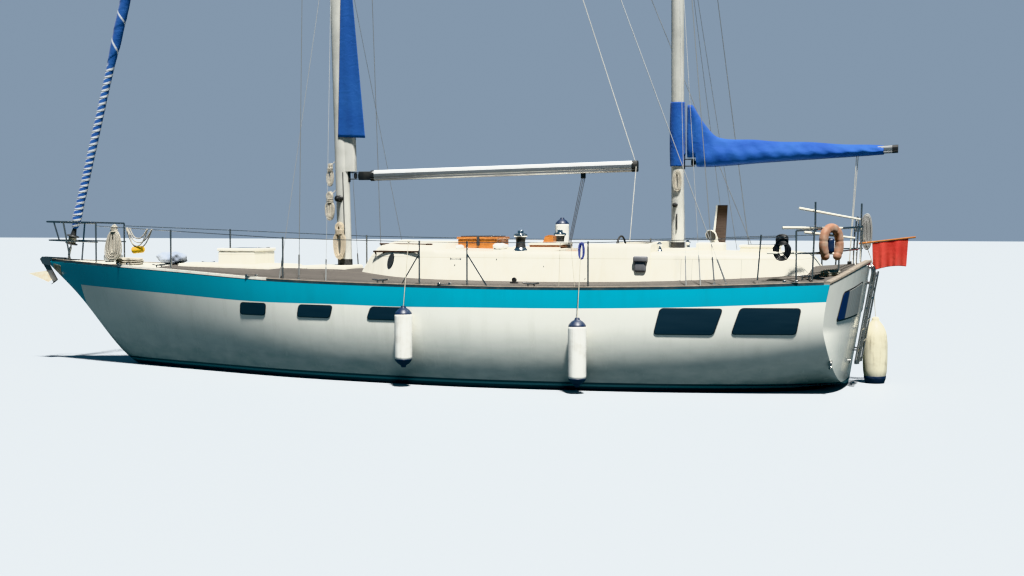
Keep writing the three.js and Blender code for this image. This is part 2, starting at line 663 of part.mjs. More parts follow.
// Trunks
const foredeckTrunk = loft([[-4440, 300, 14], [-4380, 340, 30], [-3600, 470, 38], [-2780, 560, 38], [-2660, 260, 16],
  [-2200, 260, 16]]
  .map(([x, half, tall]) => {
    const z = (y) => deckHeight(x, y) + deckTop + tall;
    const edge = half - 40;
    return [[x, half + 10, 1000], [x, half, z(half) - 30], [x, edge, z(edge)], [x, 0, z(0) + 10],
      [x, -edge, z(edge)], [x, -half, z(half) - 30], [x, -half - 10, 1000]];
  }));
const hatchCoaming = (hatch, low) => box([hatch.fore, hatch.aft], [-hatch.half, hatch.half], [low, hatch.top]);
const mastPad = { fore: -2300, aft: -1660, half: 330, top: mainmast.footZ - seatGap };
const padBlock = box([mastPad.fore, mastPad.aft], [-mastPad.half, mastPad.half], [1000, mastPad.top]);
add('foredeck_trunk', cut(join(foredeckTrunk, padBlock, hatchCoaming(forehatch, 1300)), onDeck, hatchWell(forehatch)),
  white, 0.4);

const coachroofAft = 1600;
const roofRunners = [-1, 1].map((side) => box([700, coachroofAft - 10],
  [side * companion.half - 20, side * companion.half + 20], [1700, companion.runnerTop]));
const coachroofBlank = join(
  trunk([-1310, -1290, -1140, -1000, -850, -700, -500, -300, -20, 30, 600, 1200, coachroofAft]), ...roofRunners);
const skylightFoot = hatchWell(skylight);
add('coachroof', cut(coachroofBlank, onDeck, companionWell, skylightFoot), white, 0.4);

const coamingFore = coachroofAft + seatGap;
const coamingAft = 3050;
const coamingRise = (x) => 105 * Math.min(1, Math.max(0, (x - 2040) / 100));
const coamingBlank = trunk([coamingFore, 1900, 2040, 2140, 2600, coamingAft], coamingRise);
const cockpitCut = box([cockpit.fore, cockpit.aft], [-cockpit.half, cockpit.half], [cockpit.seatZ, 2600]);
add('cockpit', cut(coamingBlank, onDeck, cockpitCut, footwellCut), white, 0.4);

const aftCabinFore = coamingAft + seatGap;
const aftCabinBlank = trunk([aftCabinFore, 3200, 3800, 4400, 4700, 4900, 4980, 5100]);
const mizzenPad = box([aftCabinFore, 3420], [-420, 420], [1700, mizzen.footZ - seatGap]);
add('aft_cabin', cut(join(aftCabinBlank, mizzenPad, hatchCoaming(aftHatch, 1700)), onDeck, hatchWell(aftHatch)),
  white, 0.4);

// Hatch frames and their lids
function hatchLid(hatch, hang = 0) {
  const seat = hatch.top + slideGap;
  return box([hatch.fore - hang, hatch.aft + hang], [-hatch.half - hang, hatch.half + hang],
    [seat, seat + hatch.lid]);
}

const onTop = (solid) => moved(solid, 0, 0, seatGap);
add('forehatch_lid', hatchLid(forehatch, 12), white, 0.4);
add('skylight_frame', cut(hatchCoaming(skylight, 1700), hatchWell(skylight), onTop(coachroofBlank)), mahogany, 0.45);
add('skylight_lid', hatchLid(skylight, 14), mahogany, 0.4);
add('aft_hatch_lid', hatchLid(aftHatch, 10), white, 0.4);

const slideZ = companion.runnerTop + slideGap;
add('companionway_hatch', box([companion.fore - 10, companion.aft + 10],
  [-companion.half - 20, companion.half + 20], [slideZ, slideZ + companion.lid]), 0x7a4526, 0.4);

// Masts, booms and what stands on them
const mainmastSolid = join(mastSolid(mainmast, mainSpreaders), housingSolid(), gooseneck(mainmast, mainBoom));
const mizzenSolid = join(mastSolid(mizzen, mizzenSpreaders), gooseneck(mizzen, mizzenBoom));
add('mainmast', mainmastSolid, ivory, 0.35, 0.2);
add('mizzen_mast', mizzenSolid, ivory, 0.45, 0.2);
add('main_boom', boomSolid(mainBoom), alloy, 0.35, 0.8);
add('mizzen_boom', boomSolid(mizzenBoom), alloy, 0.4, 0.7);

// Sail cover on the mizzen boom: x, bottom, top, half-width low down, half-width at the ridge
const coverRows = [
  [mizzenBoom.pinX - 78, 2962, 3780, 30, 24],
  [mizzenBoom.pinX - 50, 2950, 3782, 62, 40],
  [mizzenBoom.pinX, 2944, 3770, 78, 50],
  [3520, 2940, 3560, 118, 42],
  [3730, 2945, 3345, 140, 36],
  [4300, 2985, 3290, 138, 34],
  [5100, 3030, 3240, 118, 32],
  [5700, 3062, 3205, 92, 28],
  [5930, 3078, 3190, 70, 26],
];

function coverRing([x, bottom, top, low, ridge]) {
  const belly = bottom + Math.min(150, (top - bottom) * 0.4);
  const starboard = [[x, low * 0.55, bottom], [x, low * 0.92, bottom + 34], [x, low, belly],
    [x, (low + ridge) / 2, (belly + top) / 2], [x, ridge, top - 20]];
  return [...starboard, [x, 0, top], ...mirrored(starboard).reverse()];
}

const coverChannel = loft([mizzenBoom.pinX - 120, mizzenBoom.aft + 60].map((x) => {
  const top = boomZ(mizzenBoom, x) + mizzenBoom.tall + seatGap;
  const wide = mizzenBoom.wide + seatGap;
  return [[x, wide, top], [x, -wide, top], [x, -wide, top - 400], [x, wide, top - 400]];
}));
const gooseneckRoom = box([mizzenBoom.pinX - 120, mizzenBoom.pinX + 46], [-200, 200], [2700, mizzenBoom.foreZ + 66]);
add('mizzen_sail_cover', cut(loft(coverRows.map(coverRing)), coverChannel, gooseneckRoom), royalBlue, 0.85);

// The cover's collar, laced round the mast
const collarRows = [[2950, 20], [3120, 24], [3600, 22], [3830, 14]];
const collarSkin = loft(collarRows.map(([z, grow]) => mastRing(mizzen, z, grow)));
const mizzenHole = loft(steps(2800, 4000, 1).map((z) => mastRing(mizzen, z, seatGap)));
const collarMouth = box([mizzen.x + 20, mizzen.x + 400], [-48, 48], [2700, mizzenBoom.foreZ + 120]);
add('mizzen_cover_collar', cut(collarSkin, mizzenHole, collarMouth), royalBlue, 0.85);

// The corner of the mainsail that stays out of the mast's slot: a flat triangle against the port side
const clew = { thickness: 20, y: -(mainmast.halfY + seatGap + 10) };
const clewOutline = [[-1881, 3430], [-1444, 3410], [-1630, 5400], [-1716, 6100], [-1800, 6100]];
add('mainsail_clew', sidePrism(clewOutline, clew.thickness, clew.y), royalBlue, 0.85);

// Headsail rolled round the forestay, and its drum
const tack = [-6566, 0, 1618];
const stayRun = new THREE.Vector3(mainHeadX - mainmast.halfX - 50 - tack[0], 0, mainmast.topZ - 30 - tack[2]);
const stayLength = stayRun.length();
const stayUnit = stayRun.clone().normalize();
const upStay = (distance) => [tack[0] + stayUnit.x * distance, 0, tack[2] + stayUnit.z * distance];
const stayTilt = Math.atan2(stayUnit.x, stayUnit.z);

// distance up the stay and radius
const rollRows = [[0, 0], [52, 0], [82, 140], [90, 400], [95, 1500], [94, 3300], [88, 5200], [74, 9000],
  [54, 12800], [34, 14300], [20, 14500], [0, 14500]];
const drumFoot = 230;
const drumTall = 260;
const drumRows = [[0, 0], [96, 0], [96, 12], [52, 16], [52, 118], [96, 122], [96, 134], [46, 140], [30, 250],
  [30, drumTall], [0, drumTall]];

function onStay(rows, distance, sides = 14) {
  const profile = rows.map(([radius, height]) => new THREE.Vector2(radius, height));
  const geometry = new THREE.LatheGeometry(profile, sides).rotateX(Math.PI / 2);
  return solidOf(geometry.rotateY(stayTilt).translate(...upStay(distance)));
}

add('furled_headsail', onStay(rollRows, drumFoot + drumTall + seatGap, 16), royalBlue, 0.8);
add('furling_drum', onStay(drumRows, drumFoot), blackish, 0.4);
const stayHead = drumFoot + drumTall + seatGap + 14500 + 2 * seatGap;
const tackLug = box([tack[0] - 40, tack[0] + 40], [-16, 16], [tack[2] - 80, tack[2]]);
const stayFoot = join(rod(upStay(-20), upStay(drumFoot - 2 * seatGap), 12, 8), rod(upStay(50), upStay(180), 20, 8));
add('forestay_foot', cut(stayFoot, moved(tackLug, 0, 0, seatGap)), steel, 0.3, 0.9);
const headStay = rod(upStay(stayHead), upStay(stayLength), wireRadius, 6);
add('forestay_head', cut(headStay, moved(mainmastSolid, -seatGap, 0, 0)), steel, 0.3, 0.9);

// Shrouds and stays
[['port', -1], ['starboard', 1]].forEach(([name, side]) => {
  const main = stay(shroudPath(chainplates.main, mainmast, mainSpreaders, side));
  const aft = stay(shroudPath(chainplates.mizzen, mizzen, mizzenSpreaders, side));
  const backFoot = lift(chainplateFoot(chainplates.backstay, side), 24);
  const backHead = [mainHeadX + mainmast.halfX + 50, side * 14, mainmast.topZ - 20];
  const besideMast = (solid) => moved(solid, 0, side * seatGap, 0);
  add(`main_shroud_${name}`, cut(main, besideMast(mainmastSolid)), steel, 0.3, 0.9);
  add(`mizzen_shroud_${name}`, cut(aft, besideMast(mizzenSolid)), steel, 0.3, 0.9);
  add(`backstay_${name}`, cut(stay([backFoot, backHead]), moved(mainmastSolid, seatGap, 0, 0)), steel, 0.3, 0.9);
});

// Rails
const bowRail = pulpit();
const [portRail, starboardRail] = [-1, 1].map(sternRail);
add('pulpit', bowRail, steel, 0.3, 0.9);
const portLifeline = lifeline(-1, bowRail, portRail);
add('lifeline_port', portLifeline, steel, 0.35, 0.9);
add('lifeline_starboard', lifeline(1, bowRail, starboardRail), steel, 0.35, 0.9);
add('stern_rail_port', portRail, steel, 0.3, 0.9);
add('stern_rail_starboard', starboardRail, steel, 0.3, 0.9);

// Stem fitting with its roller cheeks, and the anchor stowed on it
const rollerRadius = 22;
const rollerTop = 1617;
const cheek = (y) => sidePrism([[-6620, 1560], [-6620, 1625], [-7020, 1640], [-7060, 1600], [-7010, 1520],
  [-6890, 1500]], 8, y);
const roller = rod([-6990, -44, rollerTop - rollerRadius], [-6990, 44, rollerTop - rollerRadius], rollerRadius, 12);
const stemFitting = cut(join(cheek(-40), cheek(40), box([-7000, -6520], [-44, 44], [1560, 1590]), roller, tackLug),
  onDeck, deckSeat, moved(bareHull, -seatGap, 0, 0));
add('stem_fitting', stemFitting, steel, 0.35, 0.9);

const shankLow = rollerTop + seatGap;
const shank = sidePrism([[-6640, shankLow], [-6640, shankLow + 34], [-7080, shankLow + 42], [-7190, 1500],
  [-7225, 1330], [-7190, 1325], [-7150, 1480], [-7060, shankLow]], 20);
const fluke = loft([[-7290, 14, 1362], [-7190, 120, 1322], [-7000, 140, 1262], [-6800, 60, 1204], [-6690, 20, 1190]]
  .map(([x, half, z]) => [
    [x, half, z + 34], [x, 0, z], [x, -half, z + 34], [x, -half, z + 50], [x, half, z + 50]]));
add('anchor', join(shank, fluke), 0xbfb8a4, 0.6, 0.3);

// Windlass on the foredeck
const windlassX = -5750;
const windlassZ = deckAt(windlassX, 0);
add('windlass', cut(join(box([windlassX - 130, windlassX + 130], [-90, 90], [windlassZ - 40, windlassZ + 120]),
  rod([windlassX, -190, windlassZ + 80], [windlassX, 190, windlassZ + 80], 62, 16),
  rod([windlassX, -140, windlassZ + 80], [windlassX, -60, windlassZ + 80], 80, 16)), onDeck), 0x9a9c9b, 0.4, 0.7);

// Sheet winches beside the companionway
const winchRows = [[0, 0], [95, 0], [95, 30], [70, 60], [62, 130], [70, 200], [92, 215], [92, 240], [40, 250],
  [40, 290], [0, 290]];
[['port', -1], ['starboard', 1]].forEach(([name, side]) => {
  add(`winch_${name}`, cut(turned(winchRows, 1215, side * 970, 1782, 16), onTop(coachroofBlank)), 0xa7a9aa, 0.25, 0.9);
});

// Cowl ventilator on its box, abaft the mizzen mast
const vent = { fore: 3460, aft: 3830, half: 150, top: 1905 };
const ventBox = box([vent.fore, vent.aft], [-vent.half, vent.half], [1700, vent.top]);
const cowlX = 3660;
const cowlStem = turned([[0, 0], [46, 0], [46, 60], [0, 60]], cowlX, 0, vent.top - 20, 14);
const cowlBell = rod([cowlX + 20, 0, vent.top + 70], [cowlX - 90, 0, vent.top + 110], 62, 14, 84);
const cowlThroat = rod([cowlX - 60, 0, vent.top + 100], [cowlX - 130, 0, vent.top + 125], 60, 14, 60);
add('cowl_vent', cut(join(ventBox, cowlStem, cowlBell), onTop(aftCabinBlank), cowlThroat), white, 0.4);

// Steering pedestal and wheel
const pedestal = { x: 2230, hubZ: 1640 };
const pedestalRows = [[0, 0], [110, 0], [110, 20], [62, 60], [52, 700], [78, 760], [96, 860], [80, 930], [0, 960]];
add('steering_pedestal', join(turned(pedestalRows, pedestal.x, 0, footwell.soleZ + seatGap, 14),
  rod([pedestal.x, 0, pedestal.hubZ], [pedestal.x + 135, 0, pedestal.hubZ], 14, 10)), white, 0.4);

const wheel = { x: 2380, rim: 350, tube: 13 };
const rim = solidOf(new THREE.TorusGeometry(wheel.rim, wheel.tube, 6, 24).rotateY(Math.PI / 2));
const spokes = steps(0, 2 * Math.PI, 6).slice(0, 6).map((angle) => rod(
  [0, 30 * Math.cos(angle), 30 * Math.sin(angle)],
  [0, wheel.rim * Math.cos(angle), wheel.rim * Math.sin(angle)], 7, 6));
const wheelHub = rod([-30 + slideGap, 0, 0], [26, 0, 0], 44, 14);
const wheelBore = rod([-60, 0, 0], [-8, 0, 0], 14.8, 12);
add('steering_wheel', solidOf(geometryOf(cut(join(rim, ...spokes, wheelHub), wheelBore))
  .translate(wheel.x, 0, pedestal.hubZ)), steel, 0.25, 0.95);

// Swimming ladder: the fixed half on the transom, and the half that folds down
const ladder = { half: 190, hingeZ: 330, topZ: 1500, fixedOff: 62, foldOff: 112 };
const ladderSlope = (z) => transomX(0, z);

function ladderHalf(offset, bottomZ, topZ, half, rungs) {
  const rails = [-1, 1].map((side) => rod([ladderSlope(bottomZ) + offset, side * half, bottomZ],
    [ladderSlope(topZ) + offset, side * half, topZ], 13));
  const treads = rungs.map((z) => rod([ladderSlope(z) + offset, -half, z],
    [ladderSlope(z) + offset, half, z], 12, 8));
  return join(...rails, ...treads);
}

const standoffs = [500, 1380].flatMap((z) => [-1, 1].map((side) => rod(
  [transomX(ladder.half, z) - 60, side * ladder.half, z], [ladderSlope(z) + ladder.fixedOff, side * ladder.half, z], 10)));
const hingePin = [ladderSlope(ladder.hingeZ) + (ladder.fixedOff + ladder.foldOff) / 2, ladder.hingeZ];
const fixedLugs = [-1, 1].map((side) => box([ladderSlope(ladder.hingeZ) + ladder.fixedOff - 8, hingePin[0] + 12],
  [side * ladder.half - 6, side * ladder.half + 6], [ladder.hingeZ - 20, ladder.hingeZ + 24]));
const ladderPins = [-1, 1].map((side) => rod([hingePin[0], side * ladder.half, hingePin[1]],
  [hingePin[0], side * (ladder.half + 24), hingePin[1]], 6, 8));
add('ladder_fixed', cut(join(ladderHalf(ladder.fixedOff, ladder.hingeZ, ladder.topZ, ladder.half, [480, 760, 1040, 1320]),
  ...standoffs, ...fixedLugs, ...ladderPins), moved(bareHull, seatGap, 0, 0)), steel, 0.3, 0.9);

const foldHalf = ladder.half + 24;
const foldLugs = [-1, 1].map((side) => cut(
  box([hingePin[0] - 14, ladderSlope(ladder.hingeZ) + ladder.foldOff + 10],
    [side * foldHalf - 7, side * foldHalf + 7], [ladder.hingeZ - 14, ladder.hingeZ + 40]),
  rod([hingePin[0], side * (foldHalf - 30), hingePin[1]], [hingePin[0], side * (foldHalf + 30), hingePin[1]], 6.8, 8)));
add('ladder_folding', join(ladderHalf(ladder.foldOff, ladder.hingeZ + 24, ladder.topZ + 30, foldHalf, [620, 900, 1180, 1480]),
  ...foldLugs), steel, 0.3, 0.9);

// Fenders over the side hang by lanyards from the guard wire; name, x, top, bottom, radius
const hangers = [['fender_forward', -95, 1082, 266, 118], ['fender_aft', 2300, 973, 88, 118]];
hangers.forEach(([name, x, topZ, bottomZ, radius]) => {
  const widest = Math.max(...[0.1, 0.3, 0.6, 0.9, 1].map((share) => hullHalf(x, bottomZ + (topZ - bottomZ) * share)));
  const y = -(widest + radius - 14);
  const wire = wirePoint(x, -1);
  const knot = [x, wire[1], wire[2] - wireTube - 2 * seatGap];
  const lanyard = rod([x, y, topZ - 10], knot, lanyardRadius);
  add(name, cut(join(fender(x, y, topZ, bottomZ, radius), lanyard), moved(bareHull, 0, -seatGap, 0)), white, 0.5);
});

// One over the stern, its lanyard led over the taffrail to the stern rail
const sternFender = { x: 5810, y: 480, top: 900, bottom: -95, radius: 165, cone: 200 };
const sternLanyard = tube([[sternFender.x, sternFender.y, sternFender.top - 10], [5754, 500, 1640],
  [5602, 520, 2108]], lanyardRadius);
add('fender_stern', cut(join(fender(sternFender.x, sternFender.y, sternFender.top, sternFender.bottom,
  sternFender.radius, sternFender.cone), sternLanyard), moved(starboardRail, seatGap, 0, 0)), 0xd8d2bd, 0.5);

// A spare one stands on the far side deck, against the coachroof.
const deckFender = { x: 1080, y: 1560, tall: 890, radius: 105 };
const deckFenderZ = deckAt(deckFender.x, deckFender.y);
add('fender_deck', cut(fender(deckFender.x, deckFender.y, deckFenderZ + deckFender.tall, deckFenderZ, deckFender.radius),
  onDeck), white, 0.5);

// Horseshoe buoy, open below, against the outer side of the stern rail on the port quarter
const buoyRadius = 52;
const quarterTurn = Math.atan2(410, 280);
const buoyOutline = [[-95, -190], [-150, -20], [-120, 150], [0, 215], [120, 150], [150, -20], [95, -190]];
const buoyTube = tube(buoyOutline.map(([along, up]) => [along, 0, up]), buoyRadius, 80, 8);
const buoy = solidOf(geometryOf(buoyTube).rotateZ(quarterTurn).translate(5390, -1249, 1900));
add('horseshoe_buoy', cut(buoy, moved(portRail, 0.83 * seatGap, -0.56 * seatGap, 0)), 0xd0603a, 0.8);

// Ensign on its staff, which is clamped to the inner leg of the starboard stern rail
const staff = { foot: [5590, 352, 1896], tip: [6330, 400, 1985], radius: 12 };
add('flagstaff', cut(rod(staff.foot, staff.tip, staff.radius, 8), moved(starboardRail, 0, seatGap, 0)), mahogany, 0.5);
const cloth = { fore: 5765, aft: 6235, low: 1560, half: 14 };
const staffLow = (x) => {
  const share = (x - staff.foot[0]) / (staff.tip[0] - staff.foot[0]);
  return [x, staff.foot[1] + (staff.tip[1] - staff.foot[1]) * share,
    staff.foot[2] + (staff.tip[2] - staff.foot[2]) * share - staff.radius - seatGap];
};
const ensign = loft(steps(cloth.fore, cloth.aft, 4).map((x, k) => {
  const [, y, top] = staffLow(x);
  const sway = (k % 2) * 24 - 12;
  return [[x, y - cloth.half, top], [x, y + cloth.half, top], [x, y + cloth.half + sway, cloth.low + k * 14],
    [x, y - cloth.half + sway, cloth.low + k * 14]];
}));
add('ensign', ensign, 0xb02a24, 0.9);

// Rope and cable made up in hanks: an upright outline with round ends
function hank({ x, y, top, tall, wide, thick, across }) {
  const radius = wide / 2;
  const arc = (fromAngle, z) => steps(fromAngle, fromAngle + Math.PI, 6)
    .map((angle) => new THREE.Vector2(radius * Math.cos(angle), z + radius * Math.sin(angle)));
  const outline = new THREE.Shape([...arc(0, -radius), ...arc(Math.PI, radius - tall)]);
  const geometry = new THREE.ExtrudeGeometry(outline, { depth: thick, bevelEnabled: false });
  geometry.translate(0, 0, -thick / 2).rotateX(Math.PI / 2);
  return solidOf(geometry.rotateZ(across ? Math.PI / 2 : 0).translate(x, y, top));
}

const mastHank = { x: -1835, y: -129, top: 2190, tall: 560, wide: 210, thick: 110 };
const mastFace = loft(steps(1500, 2600, 1).map((z) => mastRing(mainmast, z, seatGap)));
add('rope_hank_mast', cut(hank(mastHank), mastFace), 0xc9b99c, 0.9);
const cableHank = { x: 4800, y: 0, top: 2040, tall: 350, wide: 250, thick: 100 };
cableHank.y = wirePoint(cableHank.x, -1)[1] + wireTube + 8 + cableHank.thick / 2;
add('cable_hank_stern', cut(hank(cableHank), moved(portLifeline, 0, seatGap, 0), moved(portRail, 0, seatGap, 0)), blackish, 0.6);

export default yacht;
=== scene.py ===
import math

import bmesh
import bpy
import numpy as np
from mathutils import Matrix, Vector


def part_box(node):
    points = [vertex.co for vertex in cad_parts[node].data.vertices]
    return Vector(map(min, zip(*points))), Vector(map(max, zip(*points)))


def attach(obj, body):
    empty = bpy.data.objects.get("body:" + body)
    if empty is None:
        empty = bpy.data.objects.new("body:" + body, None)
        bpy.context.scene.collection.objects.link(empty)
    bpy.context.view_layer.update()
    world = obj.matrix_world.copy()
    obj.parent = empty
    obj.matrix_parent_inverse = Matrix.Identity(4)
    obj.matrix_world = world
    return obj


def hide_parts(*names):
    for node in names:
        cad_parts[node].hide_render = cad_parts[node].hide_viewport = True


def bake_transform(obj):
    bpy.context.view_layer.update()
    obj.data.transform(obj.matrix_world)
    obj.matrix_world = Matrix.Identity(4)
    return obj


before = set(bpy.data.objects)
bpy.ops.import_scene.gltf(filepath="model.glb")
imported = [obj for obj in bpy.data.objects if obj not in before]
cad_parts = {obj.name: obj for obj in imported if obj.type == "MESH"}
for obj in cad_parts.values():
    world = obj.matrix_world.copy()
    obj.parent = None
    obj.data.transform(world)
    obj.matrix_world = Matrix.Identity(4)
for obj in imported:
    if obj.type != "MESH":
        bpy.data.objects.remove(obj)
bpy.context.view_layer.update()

# The view: a long lens low over the water, off the port quarter.
# Metres, with +X aft, +Y to starboard, +Z up.
lens_mm = 53.05
eye = (7.37, -20.5, 2.2)
heading_deg = 17.82
dip_deg = 2.54

camera_data = bpy.data.cameras.new("view")
camera_data.lens = lens_mm
camera_data.sensor_width = 36
camera_data.clip_end = 400
camera = bpy.data.objects.new("view", camera_data)
camera.location = eye
camera.rotation_euler = (math.radians(90 - dip_deg), 0, math.radians(heading_deg))
bpy.context.collection.objects.link(camera)
bpy.context.scene.camera = camera

# The studio: a pale floor at the waterline, a soft blue-grey sky, and one soft sun, high over the port
# quarter. The floor throws little light up, as water does, and the sky lights less than it shows.
floor_mesh = bpy.data.meshes.new("floor")
floor_reach = 150
floor_mesh.from_pydata([(-floor_reach, -floor_reach, 0), (floor_reach, -floor_reach, 0),
                        (floor_reach, floor_reach, 0), (-floor_reach, floor_reach, 0)], [], [(0, 1, 2, 3)])
floor = bpy.data.objects.new("floor", floor_mesh)
bpy.context.collection.objects.link(floor)
floor_finish = bpy.data.materials.new("floor")
floor_finish.use_nodes = True
floor_shader = floor_finish.node_tree.nodes["Principled BSDF"]
floor_shader.inputs["Roughness"].default_value = 0.6


def two_tones(tree, lighting, shown, socket):
    """Links a colour to a socket: one tone for the rays that light the scene, another for the camera's."""
    ray, tone = tree.nodes.new("ShaderNodeLightPath"), tree.nodes.new("ShaderNodeMix")
    tone.data_type = "RGBA"
    tone.inputs[6].default_value = (*lighting, 1)
    tone.inputs[7].default_value = (*shown, 1)
    tree.links.new(ray.outputs["Is Camera Ray"], tone.inputs[0])
    tree.links.new(tone.outputs[2], socket)


two_tones(floor_finish.node_tree, (0.022, 0.042, 0.052), (0.33, 0.355, 0.385),
          floor_shader.inputs["Base Color"])
floor_mesh.materials.append(floor_finish)

sky = bpy.data.worlds.new("sky")
sky.use_nodes = True
background = sky.node_tree.nodes["Background"]
background.inputs["Strength"].default_value = 0.9
two_tones(sky.node_tree, (0.085, 0.155, 0.215), (0.30, 0.39, 0.50), background.inputs["Color"])
bpy.context.scene.world = sky
sun_data = bpy.data.lights.new("sun", "SUN")
sun_data.energy = 11.0
sun_data.angle = math.radians(5)
sun_data.color = (1.0, 0.97, 0.91)
sun = bpy.data.objects.new("sun", sun_data)
sun.rotation_euler = (math.radians(24.5), 0, math.radians(31))
bpy.context.collection.objects.link(sun)
bpy.context.scene.view_settings.view_transform = "Khronos PBR Neutral"

# The rope hank on the mainmast: laid halyard tails, about 14 mm thick, made up in long turns
# with a few wraps round their middle, and hung on the mast's port side.


def result(source):
    """The socket that a node's result comes out of: the colour of a colour mix, or else its first one."""
    if isinstance(source, bpy.types.Node):
        return source.outputs[2 if getattr(source, "data_type", "") == "RGBA" else 0]
    return source


def feed(node, **sources):
    """Links results to a node's inputs; underscores in a name stand for spaces."""
    for name, source in sources.items():
        node.id_data.links.new(result(source), node.inputs[name.replace("_", " ")])


def nodes_of(tree):
    """A maker of nodes in one tree: place(kind, inputs by name or number, settings) returns the node.
    An input is a value, or a node or socket to link from."""
    def place(kind, inputs=None, **settings):
        node = tree.nodes.new(kind if kind.startswith("NodeGroup") else "ShaderNode" + kind)
        for key, value in settings.items():
            setattr(node, key, value)
        for key, value in (inputs or {}).items():
            socket, value = node.inputs[key], result(value)
            if isinstance(value, bpy.types.NodeSocket):
                tree.links.new(value, socket)
            elif isinstance(value, tuple) and len(value) == 3 and socket.type == "RGBA":
                socket.default_value = (*value, 1)
            else:
                socket.default_value = value
        return node
    return place


def calc(place, operation, *values, **settings):
    """Arithmetic on values or on other nodes' results."""
    return place("Math", dict(enumerate(values)), operation=operation, **settings)


def spread(place, value, low, high, to_low=0.0, to_high=1.0):
    """A value carried from one range to another and held at its ends: without to_, 0 at low, 1 at high."""
    return place("MapRange", dict(enumerate((value, low, high, to_low, to_high))))


def dye(place, share, one, two, **settings):
    """The first colour where the share is 0, the second where it is 1."""
    return place("Mix", {0: share, 6: one, 7: two}, data_type="RGBA", **settings)


def new_group(name, ins, outs):
    """An empty shader node group with named sockets. Returns the tree, its input node and its place()."""
    tree = bpy.data.node_groups.new(name, "ShaderNodeTree")
    kinds = {"c": "NodeSocketColor", "f": "NodeSocketFloat", "v": "NodeSocketVector"}
    for socket, kind, value in ins:
        made = tree.interface.new_socket(socket, in_out="INPUT", socket_type=kinds[kind])
        if value is not None:
            made.default_value = (*value, 1) if kind == "c" else value
    for socket, kind in outs:
        tree.interface.new_socket(socket, in_out="OUTPUT", socket_type=kinds[kind])
    place = nodes_of(tree)
    return tree, place("NodeGroupInput"), place


def finish_of(name, metallic=0.0, **plain):
    """A new material with one Principled shader; plain sets values on its sockets.
    Returns the material, its shader and its place()."""
    material = bpy.data.materials.new(name)
    material.use_nodes = True
    shader = material.node_tree.nodes["Principled BSDF"]
    shader.inputs["Metallic"].default_value = metallic
    for socket, value in plain.items():
        shader.inputs[socket.replace("_", " ")].default_value = value
    return material, shader, nodes_of(material.node_tree)


def mottled(name, dark, light, scale, detail, **plain):
    """A finish of two tones that pass into each other by noise. Returns it, its noise, shader and place()."""
    material, shader, place = finish_of(name, **plain)
    noise = place("TexNoise", {"Scale": scale, "Detail": detail})
    feed(shader, Base_Color=dye(place, noise, dark, light))
    return material, noise, shader, place


# Lay of a rope: painted shade in the valleys between the strands, along the rope's own UV map, and soil in
# patches
rope_lay, lay_in, place = new_group("rope lay", [("Colour", "c", (0.7, 0.66, 0.56)), ("Turns", "f", 60.0)],
                                    [("Colour", "c"), ("Height", "f")])
uv = place("UVMap")
parts = place("SeparateXYZ", {0: uv})
along = calc(place, "MULTIPLY", parts.outputs[0], lay_in.outputs["Turns"])
wound = calc(place, "MULTIPLY_ADD", parts.outputs[1], 3.0, along)
turn = calc(place, "MULTIPLY", wound, 2 * math.pi)
wave = calc(place, "SINE", turn)
height = calc(place, "MULTIPLY_ADD", wave, 0.5, 0.5)
soil = place("TexNoise", {"Scale": 9.0, "Detail": 4.0})
# Painted shade: the valleys between the strands are darker
shade = spread(place, height, 0.0, 1.0, 0.45, 1.0)
tone = spread(place, soil, 0.3, 0.7, 0.72, 1.05)
both = calc(place, "MULTIPLY", shade, tone)
tinted = dye(place, 1.0, lay_in.outputs["Colour"], both, blend_type="MULTIPLY")
feed(place("NodeGroupOutput"), Colour=tinted, Height=height)


def rope_finish(name, colour, turns, rough=0.85):
    """A rope's material: the lay of its strands as painted shade in their valleys, and in relief."""
    material, shader, place = finish_of(name, Roughness=rough)
    lay = place("Group", node_tree=rope_lay)
    lay.inputs["Colour"].default_value = (*colour, 1)
    lay.inputs["Turns"].default_value = turns
    bump = place("Bump", {"Height": lay.outputs["Height"], "Strength": 0.6, "Distance": 0.003})
    feed(shader, Base_Color=lay.outputs["Colour"], Normal=bump)
    return material


def skin(grid, wrap=False):
    """A grid of points, rows by columns, as (points, four-cornered faces).
    Wrap joins the last column to the first."""
    rows, cols = grid.shape[:2]
    count = cols if wrap else cols - 1
    a = (np.arange(rows - 1)[:, None] * cols + np.arange(count)[None, :]).ravel()
    b = (np.arange(rows - 1)[:, None] * cols + (np.arange(count)[None, :] + 1) % cols).ravel()
    return grid.reshape(-1, 3), np.stack([a, b, b + cols, a + cols], axis=1)


def ends_closed(grid):
    """A grid of rings with one more at each end, drawn to the end ring's middle."""
    first, last = (np.repeat(end.mean(axis=1, keepdims=True), grid.shape[1], axis=1)
                   for end in (grid[:1], grid[-1:]))
    return np.concatenate([first, grid, last])


def capped(grid):
    """A wrapped grid, closed at both ends."""
    return skin(ends_closed(grid), wrap=True)


def both_sides(half_y, half_z):
    """A section's y and z from those of its one half, which ends on the centreline, and its mirror image."""
    return (np.concatenate([half_y, -half_y[:, -2::-1]], axis=1),
            np.concatenate([half_z, half_z[:, -2::-1]], axis=1))


def round_angles(count):
    """Angles evenly round a full turn; the last stops short of the first."""
    return np.linspace(0, 2 * math.pi, count, endpoint=False)


def drawn_curve(t, start, towards, end):
    """A curve from start to end, drawn towards a point between them: (1 - t) squared of the first, twice
    t times (1 - t) of the second and t squared of the third."""
    return (1 - t) ** 2 * start + 2 * t * (1 - t) * towards + t ** 2 * end


def on_grid(*parts):
    """Points from their coordinates, each of which may vary along one side of the grid only."""
    return np.stack(np.broadcast_arrays(*parts), axis=-1)


def boxy(wave, power):
    """A sine or cosine flattened towards a square wave: its sign times its size to a power."""
    return np.sign(wave) * np.abs(wave) ** power


